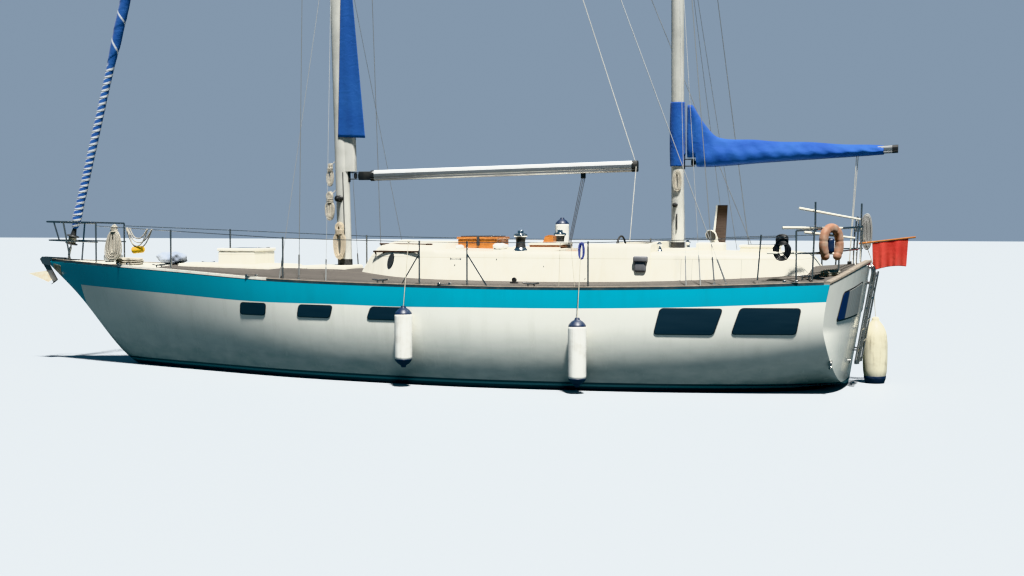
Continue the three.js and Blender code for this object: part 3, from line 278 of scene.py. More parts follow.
def make(name, shells, finish, body="yacht", replaces=(), slot=None, marks=None, uvs=None, crease_deg=35):
    """One piece from a list of (points, faces), merged where points meet, its faces turned outwards and
    smooth up to the crease angle. Marks are named values per point, kept as attributes."""
    points = np.concatenate([shell[0] for shell in shells])
    starts = np.cumsum([0] + [len(shell[0]) for shell in shells[:-1]])
    faces = np.concatenate([shell[1] + start for shell, start in zip(shells, starts)])
    mesh = bpy.data.meshes.new(name)
    mesh.vertices.add(len(points))
    mesh.vertices.foreach_set("co", np.ascontiguousarray(points, dtype=np.float32).ravel())
    mesh.loops.add(faces.size)
    mesh.loops.foreach_set("vertex_index", faces.astype(np.int32).ravel())
    mesh.polygons.add(len(faces))
    mesh.polygons.foreach_set("loop_start", np.arange(0, faces.size, 4, dtype=np.int32))
    mesh.update(calc_edges=True)
    for mark, values in (marks or {}).items():
        layer = mesh.attributes.new(mark, "FLOAT", "POINT")
        layer.data.foreach_set("value", np.ascontiguousarray(values, dtype=np.float32).ravel())
    if uvs is not None:
        layer = mesh.uv_layers.new(name="along")
        corners = np.ascontiguousarray(uvs.reshape(-1, 2)[faces.ravel()], dtype=np.float32)
        layer.data.foreach_set("uv", corners.ravel())
    work = bmesh.new()
    work.from_mesh(mesh)
    bmesh.ops.remove_doubles(work, verts=work.verts, dist=2e-6)
    bmesh.ops.dissolve_degenerate(work, edges=work.edges, dist=1e-7)
    bmesh.ops.recalc_face_normals(work, faces=work.faces)
    work.to_mesh(mesh)
    work.free()
    mesh.shade_smooth()
    mesh.set_sharp_from_angle(angle=math.radians(crease_deg))
    mesh.materials.append(finish)
    piece = bpy.data.objects.new(name, mesh)
    bpy.context.collection.objects.link(piece)
    if body:
        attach(piece, body)
    if replaces:
        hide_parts(*replaces)
    return piece


def tube_grid(path, radius, sides=10):
    """Rings of a round section carried along a path of points. The section's first direction is square to
    the path and to one fixed direction, the one that the path runs along least."""
    path = np.asarray(path, dtype=float)
    tangent = np.gradient(path, axis=0)
    tangent /= np.linalg.norm(tangent, axis=1, keepdims=True)
    fixed = np.eye(3)[np.argmin(np.abs(tangent).max(axis=0))]
    one = np.cross(tangent, fixed)
    one /= np.linalg.norm(one, axis=1, keepdims=True)
    two = np.cross(tangent, one)
    angle = round_angles(sides)
    reach = np.broadcast_to(np.asarray(radius, dtype=float), (len(path),))
    spoke = np.cos(angle)[None, :, None] * one[:, None] + np.sin(angle)[None, :, None] * two[:, None]
    return path[:, None] + reach[:, None, None] * spoke


def tube(path, radius, sides=10):
    return capped(tube_grid(path, radius, sides))


def rope_curve(name, path, diameter, finish, body, sides=3):
    """A rope as a curve: one open spline with a round bevel."""
    data = bpy.data.curves.new(name, "CURVE")
    data.dimensions = "3D"
    data.bevel_depth = diameter / 2
    data.bevel_resolution = sides
    data.use_fill_caps = True
    spline = data.splines.new("POLY")
    spline.points.add(len(path) - 1)
    spline.points.foreach_set("co", np.column_stack([path, np.ones(len(path))]).astype(np.float32).ravel())
    data.materials.append(finish)
    piece = bpy.data.objects.new(name, data)
    bpy.context.collection.objects.link(piece)
    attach(piece, body)
    return piece


def hank_path(low, high, diameter, lanes, layers, pitch=1.22, neck=None):
    """A hank: long upright turns, each a loop with round ends, wound outwards in one layer, then inwards
    in the next, a little more than a diameter apart, so that no turn runs through another. At a neck the
    turns are drawn together, and the rope's end is wound round them there."""
    low, high = np.asarray(low, float), np.asarray(high, float)
    middle, half = (low + high) / 2, (high - low) / 2 - diameter / 2
    per_turn = 32
    step = np.arange(lanes * layers * per_turn + 1) / per_turn
    layer = np.minimum(step // lanes, layers - 1)
    lane = step - layer * lanes
    lane = np.where(layer % 2 == 0, lane, lanes - lane)
    wide = half[0] - (lanes - lane) * diameter * pitch
    angle = 2 * math.pi * step
    straight_half = half[2] - half[0] * 0.9
    bow = np.sin(angle)
    up = np.cos(angle)
    x = middle[0] + wide * boxy(bow, 0.75)
    tall = straight_half + wide * 0.9
    z = middle[2] + tall * up - 0.004 * np.cos(3 * angle + layer)
    to_next = np.clip((step % lanes - lanes + 0.35) / 0.35, 0, 1)
    y = low[1] + diameter / 2 + (layer + to_next) * diameter * pitch
    y = np.minimum(y, low[1] + diameter / 2 + (layers - 1) * diameter * pitch)
    if neck is None:
        return np.column_stack([x, y, z])
    y = y + diameter
    x = middle[0] + (x - middle[0]) * (1 - 0.45 * np.exp(-((z - neck) / 0.05) ** 2))
    wrap = np.linspace(0, 2 * math.pi * 5, 161)
    deep = (layers - 1) * diameter * pitch / 2
    wraps = np.column_stack([middle[0] + (half[0] * 0.55 + diameter * 0.7) * np.sin(wrap),
                             low[1] + diameter * 1.5 + deep + (deep + diameter * 1.1) * np.cos(wrap),
                             neck + diameter * (2.6 - 1.04 * wrap / (2 * math.pi))])
    turns = np.column_stack([x, y, z])
    return np.concatenate([turns, np.linspace(turns[-1], wraps[0], 8)[1:-1], wraps])


hank_low, hank_high = (np.array(corner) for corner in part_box("rope_hank_mast"))
hank_line = hank_path(hank_low, hank_high, 0.014, 4, 3, 1.24, neck=hank_high[2] - 0.15)
buff_rope = rope_finish("buff rope", (0.66, 0.57, 0.44), 900)
mast_hank = rope_curve("mast_hank", hank_line, 0.014, buff_rope, "yacht")
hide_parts("rope_hank_mast")

# The shore cable on the stern rail: black sheathed flex of 16 mm, hung over the guard wire in a hank.
flex_low, flex_high = (np.array(corner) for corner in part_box("cable_hank_stern"))
flex_line = hank_path(flex_low, flex_high, 0.016, 4, 3, 1.22, neck=flex_high[2] - 0.10)
black_flex = finish_of("black flex", Roughness=0.5, Base_Color=(0.02, 0.021, 0.024, 1))[0]
stern_hank = rope_curve("stern_hank", flex_line, 0.016, black_flex, "yacht")
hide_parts("cable_hank_stern")

# The hull: a moulded shell with a straight raked stem and a bowed, raked transom, painted cream-white
# with a turquoise band below the deck edge and a dark boot stripe at the waterline.
# Lines: x, keel line, half-breadth at the sheer, then the two inner control points of the section.
hull_lines = np.array([
    [-6.890, 1.500, 0.034, 0.50, 0.20, 0.90, 0.50],
    [-6.380, 1.040, 0.250, 0.35, 0.14, 0.70, 0.50],
    [-5.450, 0.075, 0.600, 0.28, 0.08, 0.62, 0.42],
    [-4.200, -0.420, 0.985, 0.38, 0.03, 0.76, 0.32],
    [-2.100, -0.600, 1.550, 0.60, 0.01, 0.98, 0.27],
    [0.000, -0.660, 1.880, 0.66, 0.01, 1.03, 0.24],
    [1.200, -0.650, 1.950, 0.66, 0.01, 1.04, 0.24],
    [3.000, -0.500, 1.860, 0.66, 0.01, 1.04, 0.24],
    [4.400, -0.240, 1.660, 0.66, 0.01, 1.02, 0.22],
    [5.400, 0.040, 1.460, 0.64, 0.01, 1.00, 0.16],
    [6.100, 0.130, 1.330, 0.64, 0.01, 1.00, 0.14],
])
sheer_line = np.array([[-6.89, 1.567], [-4.2, 1.451], [-2.1, 1.354], [1.2, 1.313], [3.4, 1.336],
                       [5.42, 1.406], [6.1, 1.440]])
camber_line = np.array([[-6.89, 0.012], [-4.2, 0.065], [-3.3, 0.105], [-2.1, 0.143], [-1.3, 0.145],
                        [-0.3, 0.118], [1.2, 0.108], [3.0, 0.125], [5.4, 0.205], [6.1, 0.235]])
band_line = np.array([[-6.9, 0.325], [-3.15, 0.310], [-1.2, 0.266], [-0.3, 0.262], [1.0, 0.240],
                      [3.0, 0.230], [3.9, 0.225], [5.3, 0.212], [6.1, 0.210]])
stem_x, stern_guess = -6.89, 5.6


def fair(rows, at, column=1):
    """A fair line through [position, value] rows: a cubic between neighbours, whose slope at each row is that
    of the chord between the rows on either side."""
    x, v = rows[:, 0], rows[:, column]
    before = np.concatenate([[0], np.arange(len(x) - 1)])
    after = np.concatenate([np.arange(1, len(x)), [len(x) - 1]])
    slope = (v[after] - v[before]) / (x[after] - x[before])
    at = np.clip(at, x[0], x[-1])
    k = np.clip(np.searchsorted(x, at, side="left") - 1, 0, len(x) - 2)
    span = x[k + 1] - x[k]
    t = (at - x[k]) / span
    bent = t * (1 - t) ** 2 * slope[k] - t ** 2 * (1 - t) * slope[k + 1]
    return v[k] + (v[k + 1] - v[k]) * t * t * (3 - 2 * t) + span * bent


def led_through(points, count=60):
    """A fair path through points, spaced by the distance between them."""
    points = np.asarray(points, float)
    run = np.concatenate([[0], np.cumsum(np.linalg.norm(np.diff(points, axis=0), axis=1))])
    rows = np.column_stack([run, points])
    at_run = np.linspace(0, run[-1], count)
    return np.column_stack([fair(rows, at_run, column) for column in range(1, points.shape[1] + 1)])


def sheer(x):
    return fair(sheer_line, x)


def half_breadth(x):
    return fair(hull_lines, x, 2)


def deck_z(x, y):
    """Height of the deck: the sheer plus the camber, which falls to nothing at the edge as a parabola."""
    return sheer(x) + fair(camber_line, x) * (1 - (y / half_breadth(x)) ** 2)


def hull_side(x, t):
    """Half-breadth and height on the hull's side: a cubic curve from the keel line, t = 0, to the sheer."""
    bottom, half = fair(hull_lines, x, 1), half_breadth(x)
    depth = sheer(x) - bottom
    a, b, c = 3 * t * (1 - t) ** 2, 3 * t * t * (1 - t), t ** 3
    y = half * (a * fair(hull_lines, x, 3) + b * fair(hull_lines, x, 5) + c)
    z = bottom + depth * (a * fair(hull_lines, x, 4) + b * fair(hull_lines, x, 6) + c)
    return y, z


def transom_x(y, z):
    """The transom leans aft as it rises, and its corners lie ahead of its middle."""
    bulge = 0.33 * np.minimum(1, 0.45 + z / 1.5)
    return 5.48 + 0.29 * z / 1.64 - bulge * (y / 1.45) ** 2


def at_transom(place_at, first, ahead=0.0):
    """Where lines that run aft meet the transom, or a little ahead of it: from a first guess of x, each
    round moves x to the transom at the y and z that the lines have there."""
    for _ in range(14):
        first = transom_x(*place_at(first)) - ahead
    return first


def on_deck(x, share, inset=0.0):
    """y and z on the deck at a share of its half-breadth, less an inset."""
    y = share * (half_breadth(x) - inset)
    return y, deck_z(x, y)


def side_y(x, z):
    """The hull's half-breadth at a place on its side, found by halving on the section's curve."""
    x, z = np.broadcast_arrays(np.asarray(x, float), np.asarray(z, float))
    low, high = np.zeros_like(x), np.ones_like(x)
    for _ in range(30):
        t = (low + high) / 2
        above = hull_side(x, t)[1] > z
        low, high = np.where(above, low, t), np.where(above, t, high)
    return hull_side(x, t)[0]


def hull_ring(along, girth=44, across=28):
    """One closed ring round the hull per step along it: up the starboard side, over the deck, down the port
    side. Each line runs from the stem to where it meets the transom."""
    t = np.linspace(0, 1, girth) ** 0.9
    q = np.linspace(1, -1, across)[1:-1]
    end_side = at_transom(lambda x: hull_side(x, t), np.full(girth, 5.5))
    end_deck = at_transom(lambda x: on_deck(x, q), np.full(across - 2, stern_guess))
    x_side = stem_x + (end_side - stem_x)[None] * along[:, None]
    x_deck = stem_x + (end_deck - stem_x)[None] * along[:, None]
    y_side, z_side = hull_side(x_side, t[None])
    y_deck = q[None] * half_breadth(x_deck)
    starboard = on_grid(x_side, y_side, z_side)
    deck = on_grid(x_deck, y_deck, deck_z(x_deck, y_deck))
    port = starboard[:, :0:-1] * (1, -1, 1)
    return np.concatenate([starboard, deck, port], axis=1)


def shrunk_faces(ring, steps, onto=None):
    """A cap over a closed ring: the ring drawn to its middle in steps, each laid onto a surface."""
    share = np.linspace(1, 0, steps)[1:, None, None]
    middle = ring.mean(axis=0)
    rings = middle + share * (ring - middle)
    if onto is not None:
        rings[..., 0] = onto(rings[..., 1], rings[..., 2])
    return rings


along = np.linspace(0, 1, 210)
hull_rings = hull_ring(along)
stem_cap = shrunk_faces(hull_rings[0], 3)[::-1]
transom_cap = shrunk_faces(hull_rings[-1], 16, transom_x)
hull_grid = np.concatenate([stem_cap, hull_rings, transom_cap])
band_share = (sheer(hull_grid[..., 0]) - hull_grid[..., 2]) / fair(band_line, hull_grid[..., 0])
band_share[len(stem_cap) + len(hull_rings):] = 9.0

# Weather: soft dirt in patches and rain streaks
weather, w_in, place = new_group(
    "weather",
    [("Colour", "c", (0.8, 0.8, 0.75)), ("Dirt", "c", (0.35, 0.33, 0.27)), ("Patches", "f", 0.25),
     ("Streaks", "f", 0.2), ("Scale", "f", 1.0)],
    [("Colour", "c"), ("Mask", "f"), ("Height", "f")])
where = place("TexCoord")
spot = place("VectorMath", {0: where.outputs["Object"]}, operation="SCALE")
feed(spot, Scale=w_in.outputs["Scale"])
patch = place("TexNoise", {"Vector": spot, "Scale": 1.7, "Detail": 7.0, "Roughness": 0.62})
patch_mask = spread(place, patch, 0.46, 0.74)
drip_at = place("VectorMath", {0: spot, 1: (9.0, 9.0, 0.55)}, operation="MULTIPLY")
drip = place("TexNoise", {"Vector": drip_at, "Scale": 1.0, "Detail": 5.0})
drip_mask = spread(place, drip, 0.52, 0.78)
one = calc(place, "MULTIPLY", patch_mask, w_in.outputs["Patches"])
two = calc(place, "MULTIPLY", drip_mask, w_in.outputs["Streaks"])
mask = calc(place, "ADD", one, two, use_clamp=True)
grit = place("TexNoise", {"Vector": where.outputs["Object"], "Scale": 160.0, "Detail": 2.0})
blended = dye(place, mask, w_in.outputs["Colour"], w_in.outputs["Dirt"])
feed(place("NodeGroupOutput"), Colour=blended, Mask=mask, Height=grit)


def weathered(name, colour, dirt=(0.30, 0.28, 0.23), patches=0.25, streaks=0.2, scale=1.0, rough=0.4,
              wear_rough=0.25, bump=0.0004, **plain):
    """A painted or metal finish with the weather group over one colour."""
    material, shader, place = finish_of(name, **plain)
    group = place("Group", node_tree=weather)
    group.inputs["Colour"].default_value = (*colour, 1)
    group.inputs["Dirt"].default_value = (*dirt, 1)
    group.inputs["Patches"].default_value = patches
    group.inputs["Streaks"].default_value = streaks
    group.inputs["Scale"].default_value = scale
    feed(shader, Base_Color=group.outputs["Colour"])
    dull = calc(place, "MULTIPLY_ADD", group.outputs["Mask"], wear_rough, rough)
    feed(shader, Roughness=dull)
    relief = place("Bump", {"Height": group.outputs["Height"], "Strength": 0.25, "Distance": bump})
    feed(shader, Normal=relief)
    return material


topsides, side_shader, place = finish_of("topsides", Coat_Weight=0.35, Coat_Roughness=0.06)
depth = place("Attribute", attribute_name="band_share")
where = place("TexCoord")
place_xyz = place("SeparateXYZ", {0: where.outputs["Object"]})


in_band = spread(place, depth.outputs["Fac"], 1.008, 0.992)
at_stem = spread(place, place_xyz.outputs["X"], -6.195, -6.205)
band = calc(place, "MAXIMUM", in_band, at_stem)
above_stripe = spread(place, place_xyz.outputs["Z"], 0.112, 0.115)
pale_low = spread(place, place_xyz.outputs["Z"], 0.060, 0.062)
pale_high = spread(place, place_xyz.outputs["Z"], 0.088, 0.086)
pale_line = calc(place, "MULTIPLY", pale_low, pale_high)
# Darker and green-grey low on the topsides, in cloudy patches: painted reflection of the dark water below,
# partly a waterline film
painted_water_reflection = spread(place, place_xyz.outputs["Z"], 0.80, 0.12, 0.0, 0.85)
cloud_at = place("VectorMath", {0: where.outputs["Object"], 1: (1.0, 1.0, 2.6)}, operation="MULTIPLY")
cloud = place("TexNoise", {"Vector": cloud_at, "Scale": 3.4, "Detail": 6.0})
reflection_patches = spread(place, cloud, 0.3, 0.75, 0.45, 1.0)
reflection_share = calc(place, "MULTIPLY", painted_water_reflection, reflection_patches)
white = place("Group", {"Colour": (0.76, 0.755, 0.70), "Dirt": (0.48, 0.48, 0.42), "Patches": 0.14,
                        "Streaks": 0.22}, node_tree=weather)
white_with_reflection = dye(place, reflection_share, white.outputs["Colour"], (0.28, 0.345, 0.335))
paint = place("Group", {"Colour": (0.0, 0.285, 0.405), "Dirt": (0.01, 0.21, 0.29), "Patches": 0.35,
                        "Streaks": 0.25, "Scale": 0.7}, node_tree=weather)
upper = dye(place, band, white_with_reflection, paint.outputs["Colour"])
stripe = dye(place, pale_line, (0.006, 0.030, 0.042), (0.10, 0.24, 0.27))
whole = dye(place, above_stripe, stripe, upper)
sideways = calc(place, "ABSOLUTE", place_xyz.outputs["Y"])
near_middle = spread(place, sideways, 0.52, 0.50)
off_ends = calc(place, "MULTIPLY", spread(place, place_xyz.outputs["X"], -4.52, -4.50),
                spread(place, place_xyz.outputs["X"], 4.82, 4.80))
well_height = spread(place, place_xyz.outputs["Z"], 0.28, 0.30)
well_area = calc(place, "MULTIPLY", near_middle, off_ends)
in_well = calc(place, "MULTIPLY", well_area, well_height)
with_wells = dye(place, in_well, whole, white.outputs["Colour"])
feed(side_shader, Base_Color=with_wells)
gloss = spread(place, white.outputs["Mask"], 0.0, 1.0, 0.24, 0.5)
feed(side_shader, Roughness=gloss)


def carve(piece, *cutters):
    """Takes solid cutters out of a closed piece, then deletes them."""
    for cutter in cutters:
        tool = piece.modifiers.new("cut", "BOOLEAN")
        tool.operation = "DIFFERENCE"
        tool.solver = "EXACT"
        tool.object = cutter
    depsgraph = bpy.context.evaluated_depsgraph_get()
    cut_mesh = bpy.data.meshes.new_from_object(piece.evaluated_get(depsgraph))
    piece.modifiers.clear()
    old = piece.data
    piece.data = cut_mesh
    cut_mesh.name = old.name
    bpy.data.meshes.remove(old)
    for cutter in set(cutters):
        bpy.data.objects.remove(cutter)
    cut_mesh.set_sharp_from_angle(angle=math.radians(35))
    return piece


def block(name, x, y, z):
    """A plain cutter between two corners."""
    mesh = bpy.data.meshes.new(name)
    corners = [(x[i], y[j], z[k]) for i in (0, 1) for j in (0, 1) for k in (0, 1)]
    mesh.from_pydata(corners, [], [(0, 1, 3, 2), (4, 6, 7, 5), (0, 4, 5, 1), (2, 3, 7, 6), (0, 2, 6, 4),
                                   (1, 5, 7, 3)])
    made = bpy.data.objects.new(name, mesh)
    bpy.context.collection.objects.link(made)
    return made


well_x, well_half, well_sole = (1.72, 2.90), 0.40, 0.85
hatch_well = ((-3.70, -3.17), (-0.29, 0.29), (1.15, 2.4))
hull = make("hull_shell", [skin(hull_grid, wrap=True)], topsides, replaces=("hull",), slot="gelcoat",
            marks={"band_share": band_share}, crease_deg=28)
carve(hull, block("footwell", well_x, (-well_half, well_half), (well_sole, 2.3)),
      block("forehatch", *hatch_well))

# Windows in the topsides: dark glazing bonded over the openings, with slanted ends and round corners.
# Each: x of the lower and upper corners fore, then aft, and the heights of the lower and upper edge.
window_shapes = [
    (-2.85, -2.83, -2.40, -2.375, 0.885, 1.045),
    (-1.83, -1.79, -1.30, -1.245, 0.885, 1.045),
    (-0.70, -0.63, -0.17, -0.13, 0.885, 1.045),
    (3.25, 3.335, 3.98, 4.10, 0.775, 1.095),
    (4.21, 4.325, 4.985, 5.05, 0.785, 1.105),
]


def round_quad(corners, radius, per_corner=8):
    """The outline of a four-cornered plate whose corners are rounded: each corner gives an arc, as a curve
    through the points that lie one radius away along its two edges."""
    corners = np.asarray(corners, float)
    before = np.roll(corners, 1, axis=0) - corners
    after = np.roll(corners, -1, axis=0) - corners
    before /= np.linalg.norm(before, axis=1, keepdims=True)
    after /= np.linalg.norm(after, axis=1, keepdims=True)
    t = np.linspace(0, 1, per_corner)[None, :, None]
    start = corners + radius * before
    end = corners + radius * after
    arc = drawn_curve(t, start[:, None], corners[:, None], end[:, None])
    to_next = np.roll(arc[:, 0], -1, axis=0) - arc[:, -1]
    edge = arc[:, -1:] + np.linspace(0, 1, 10)[1:-1, None] * to_next[:, None]
    return np.concatenate([arc, edge], axis=1).reshape(-1, corners.shape[1])


def filled(outline, steps=6):
    """Rings from an outline to its middle."""
    share = np.linspace(1, 0, steps)[:, None, None]
    middle = outline.mean(axis=0)
    return middle + share * (outline - middle)


glazing = mottled("dark glazing", (0.010, 0.020, 0.032), (0.028, 0.044, 0.060), 5.0, 4.0, Roughness=0.12,
                  Specular_IOR_Level=0.3)[0]
seal = finish_of("window seal", Roughness=0.7, Base_Color=(0.03, 0.034, 0.038, 1))[0]


def side_plate(corners, side, radius, out, thick, steps=7):
    """A plate that follows the hull's side: an outline in x and z, filled, then pushed out by a distance,
    with a turned edge back to the hull."""
    rings = filled(round_quad(corners, radius), steps)
    x, z = rings[..., 0], rings[..., 1]
    face = on_grid(x, side * (side_y(x, z) + out), z)
    back = on_grid(x, side * (side_y(x, z) + out - thick), z)
    return skin(np.concatenate([back[::-1], face]), wrap=True)


for side, label in ((-1, "port"), (1, "starboard")):
    panes, rims = [], []
    for low_fore, top_fore, low_aft, top_aft, low, top in window_shapes:
        quad = [(low_fore, low), (low_aft, low), (top_aft, top), (top_fore, top)]
        grown = [(low_fore - 0.012, low - 0.010), (low_aft + 0.008, low - 0.010),
                 (top_aft + 0.012, top + 0.010), (top_fore - 0.008, top + 0.010)]
        panes.append(side_plate(quad, side, 0.05, 0.012, 0.03))
        rims.append(side_plate(grown, side, 0.055, 0.008, 0.03))
    make(f"hull_windows_{label}", panes, glazing, crease_deg=50)
    make(f"hull_window_seals_{label}", rims, seal, crease_deg=50)


def transom_plate(corners, radius, out, thick, steps=8):
    """A plate that follows the transom: an outline in y and z, filled, then moved aft by a distance."""
    rings = filled(round_quad(corners, radius), steps)
    y, z = rings[..., 0], rings[..., 1]
    face = on_grid(transom_x(y, z) + out, y, z)
    back = on_grid(transom_x(y, z) + out - thick, y, z)
    return skin(np.concatenate([back[::-1], face]), wrap=True)


curtained, curtain_shader, place = finish_of("curtained pane", Roughness=0.12, Specular_IOR_Level=0.4)
where = place("TexCoord")
at = place("SeparateXYZ", {0: where.outputs["Object"]})
off_centre = calc(place, "ABSOLUTE", at.outputs["Y"])
drawn_back = spread(place, off_centre, 0.90, 0.93)
# The curtain's pleats as alternate light and dark bands: painted shade of folds on a flat pane
pleats_at = calc(place, "MULTIPLY", at.outputs["Y"], 95.0)
pleat_shade_wave = calc(place, "SINE", pleats_at)
pleat_shade_share = spread(place, pleat_shade_wave, -1.0, 1.0, 0.0, 0.5)
curtain = dye(place, pleat_shade_share, (0.33, 0.34, 0.33), (0.20, 0.215, 0.215))
pane_colour = dye(place, drawn_back, curtain, (0.006, 0.016, 0.085))
feed(curtain_shader, Base_Color=pane_colour)
panes, rims = [], []
for s in (-1, 1):
    quad = [(s * 1.110, 0.945), (s * 0.365, 0.995), (s * 0.410, 1.398), (s * 1.055, 1.283)]
    grown = [(s * 1.132, 0.925), (s * 0.343, 0.975), (s * 0.388, 1.420), (s * 1.075, 1.303)]
    panes.append(transom_plate(quad, 0.04, 0.013, 0.03))
    rims.append(transom_plate(grown, 0.05, 0.008, 0.03))
make("transom_windows", panes, curtained, crease_deg=50)
make("transom_window_seals", rims, seal, crease_deg=50)

# Below the waterline: a ballasted fin keel, a skeg and a spade hung on it, all in dark blue-green
# bottom paint, chalky and patched; a bronze propeller turns on a steel shaft in its strut.


def dress(finish, *nodes):
    """Gives nodes of the frame a finish in place of their own."""
    for node in nodes:
        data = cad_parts[node].data
        data.materials.clear()
        data.materials.append(finish)


bottom_paint = weathered("bottom paint", (0.016, 0.055, 0.075), dirt=(0.06, 0.11, 0.10), patches=0.6,
                         streaks=0.1, rough=0.75)
dress(bottom_paint, "keel", "skeg", "rudder")
bronze = weathered("bronze", (0.55, 0.40, 0.18), dirt=(0.12, 0.22, 0.16), patches=0.5, scale=6.0, rough=0.32,
                   metallic=1.0)
dress(bronze, "propeller")
shaft_steel = weathered("shaft steel", (0.55, 0.56, 0.56), patches=0.3, scale=6.0, rough=0.3, metallic=1.0)
dress(shaft_steel, "propeller_shaft")

# The deck: teak planks sprung to the deck's edge, with dark caulked seams, weathered to a grey-brown,
# from a little ahead of the mast to the stern; ahead of that the deck is painted a gritty cream-white.
deck_inset, deck_rise, deck_end = 0.060, 0.0123, 0.075
teak_from = -2.35

planks, plank_in, place = new_group(
    "planks",
    [("Colour", "c", (0.3, 0.25, 0.2)), ("Across", "f", 0.0), ("Along", "f", 0.0), ("Width", "f", 0.048)],
    [("Colour", "c"), ("Height", "f"), ("Seam", "f")])
row = calc(place, "DIVIDE", plank_in.outputs["Across"], plank_in.outputs["Width"])
number = calc(place, "FLOOR", row)
share = calc(place, "FRACT", row)
from_middle = calc(place, "SUBTRACT", share, 0.5)
off_middle = calc(place, "ABSOLUTE", from_middle)
side_seam = spread(place, off_middle, 0.435, 0.465)
shift = calc(place, "MULTIPLY", number, 0.37)
length = calc(place, "MULTIPLY_ADD", plank_in.outputs["Along"], 0.42, shift)
butt_share = calc(place, "FRACT", length)
butt = spread(place, butt_share, 0.004, 0.001)
seam = calc(place, "MAXIMUM", side_seam, butt)
length_number = calc(place, "FLOOR", length)
which = place("CombineXYZ", {0: number, 1: length_number})
tint = place("TexWhiteNoise", {0: which}, noise_dimensions="3D")
where = place("TexCoord")
drawn = place("VectorMath", {0: where.outputs["Object"], 1: (2.2, 40.0, 40.0)}, operation="MULTIPLY")
fibre = place("TexNoise", {"Vector": drawn, "Scale": 3.0, "Detail": 5.0, "Roughness": 0.6})
tone_a = spread(place, tint, 0.0, 1.0, 0.82, 1.14)
tone_b = spread(place, fibre, 0.3, 0.7, 0.78, 1.18)
tone = calc(place, "MULTIPLY", tone_a, tone_b)
tone_colour = place("CombineColor", {0: tone, 1: tone, 2: tone})
toned = dye(place, 1.0, plank_in.outputs["Colour"], tone_colour, blend_type="MULTIPLY")
caulked = dye(place, seam, toned, (0.03, 0.028, 0.026))
ridge = spread(place, seam, 0.0, 1.0, 1.0, 0.0)
feed(place("NodeGroupOutput"), Colour=caulked, Height=ridge, Seam=seam)

deck_finish, deck_shader, place = finish_of("deck", Roughness=0.8)
edge_at = place("Attribute", attribute_name="from_edge")
where = place("TexCoord")
at = place("SeparateXYZ", {0: where.outputs["Object"]})
laid = place("Group", {"Colour": (0.078, 0.069, 0.061), "Across": edge_at.outputs["Fac"],
                       "Along": at.outputs["X"]}, node_tree=planks)
painted = place("Group", {"Colour": (0.72, 0.71, 0.64), "Dirt": (0.40, 0.37, 0.30), "Patches": 0.45,
                          "Streaks": 0.0, "Scale": 2.0}, node_tree=weather)
ahead = spread(place, at.outputs["X"], -4.598, -4.602)
forward_half = spread(place, at.outputs["X"], teak_from + 0.002, teak_from - 0.002)
margin = spread(place, edge_at.outputs["Fac"], 0.067, 0.064)
margin_ahead = calc(place, "MULTIPLY", forward_half, margin)
forward = calc(place, "MAXIMUM", ahead, margin_ahead)
deck_colour = dye(place, forward, laid.outputs["Colour"], painted.outputs["Colour"])
feed(deck_shader, Base_Color=deck_colour)
deck_relief = place("Mix", {0: forward, 2: laid.outputs["Height"], 3: painted.outputs["Height"]})
deck_bump = place("Bump", {"Height": deck_relief, "Strength": 0.5, "Distance": 0.002})
feed(deck_shader, Normal=deck_bump)

deck_rows, deck_q = np.linspace(0, 1, 300), np.linspace(-1, 1, 49)
deck_start = -6.74
deck_stop = at_transom(lambda x: on_deck(x, deck_q, deck_inset), np.full(deck_q.shape, stern_guess),
                       deck_end)
x = deck_start + (deck_stop - deck_start)[None] * deck_rows[:, None]
y = deck_q[None] * (half_breadth(x) - deck_inset)
z = deck_z(x, y)
upper = on_grid(x, y, z + deck_rise)
lower = on_grid(x, y, z + 0.0006)[:, ::-1]
deck_grid = ends_closed(np.concatenate([upper, lower], axis=1))
from_edge = half_breadth(deck_grid[..., 0]) - deck_inset - np.abs(deck_grid[..., 1])
deck_planks = make("deck_planks", [skin(deck_grid, wrap=True)], deck_finish, replaces=("deck",),
                   slot="deck_teak", marks={"from_edge": from_edge})
carve(deck_planks, block("footwell", well_x, (-well_half, well_half), (well_sole, 2.3)),
      block("forehatch", *hatch_well))

# The toe rails: a slate-painted upstand along the deck's edge, under a bare hardwood cap, and the
# broader cap across the stern.
slate = weathered("slate paint", (0.022, 0.045, 0.060), dirt=(0.10, 0.11, 0.10), patches=0.5, scale=3.0,
                  rough=0.5)

wood_grain, grain_in, place = new_group(
    "wood grain",
    [("Light", "c", (0.3, 0.25, 0.2)), ("Dark", "c", (0.12, 0.1, 0.08)), ("Fineness", "f", 1.0)],
    [("Colour", "c"), ("Height", "f")])
where = place("TexCoord")
drawn = place("VectorMath", {0: where.outputs["Object"], 1: (2.5, 26.0, 26.0)}, operation="MULTIPLY")
sized = place("VectorMath", {0: drawn}, operation="SCALE")
feed(sized, Scale=grain_in.outputs["Fineness"])
figure = place("TexNoise", {"Vector": sized, "Scale": 1.6, "Detail": 6.0, "Roughness": 0.65,
                            "Distortion": 0.4})
pores = place("TexNoise", {"Vector": sized, "Scale": 9.0, "Detail": 2.0})
mixed = calc(place, "MULTIPLY_ADD", pores, 0.4, figure)
ramp = spread(place, mixed, 0.50, 0.90)
grain_colour = dye(place, ramp, grain_in.outputs["Light"], grain_in.outputs["Dark"])
feed(place("NodeGroupOutput"), Colour=grain_colour, Height=ramp)


def wood(name, light, dark, fineness=1.0, rough=0.7, **plain):
    """A wooden finish: grain that runs fore and aft, in colour and in relief."""
    material, shader, place = finish_of(name, Roughness=rough, **plain)
    grain = place("Group", {"Light": light, "Dark": dark, "Fineness": fineness}, node_tree=wood_grain)
    feed(shader, Base_Color=grain.outputs["Colour"])
    bump = place("Bump", {"Height": grain.outputs["Height"], "Strength": 0.35, "Distance": 0.0015})
    feed(shader, Normal=bump)
    return material


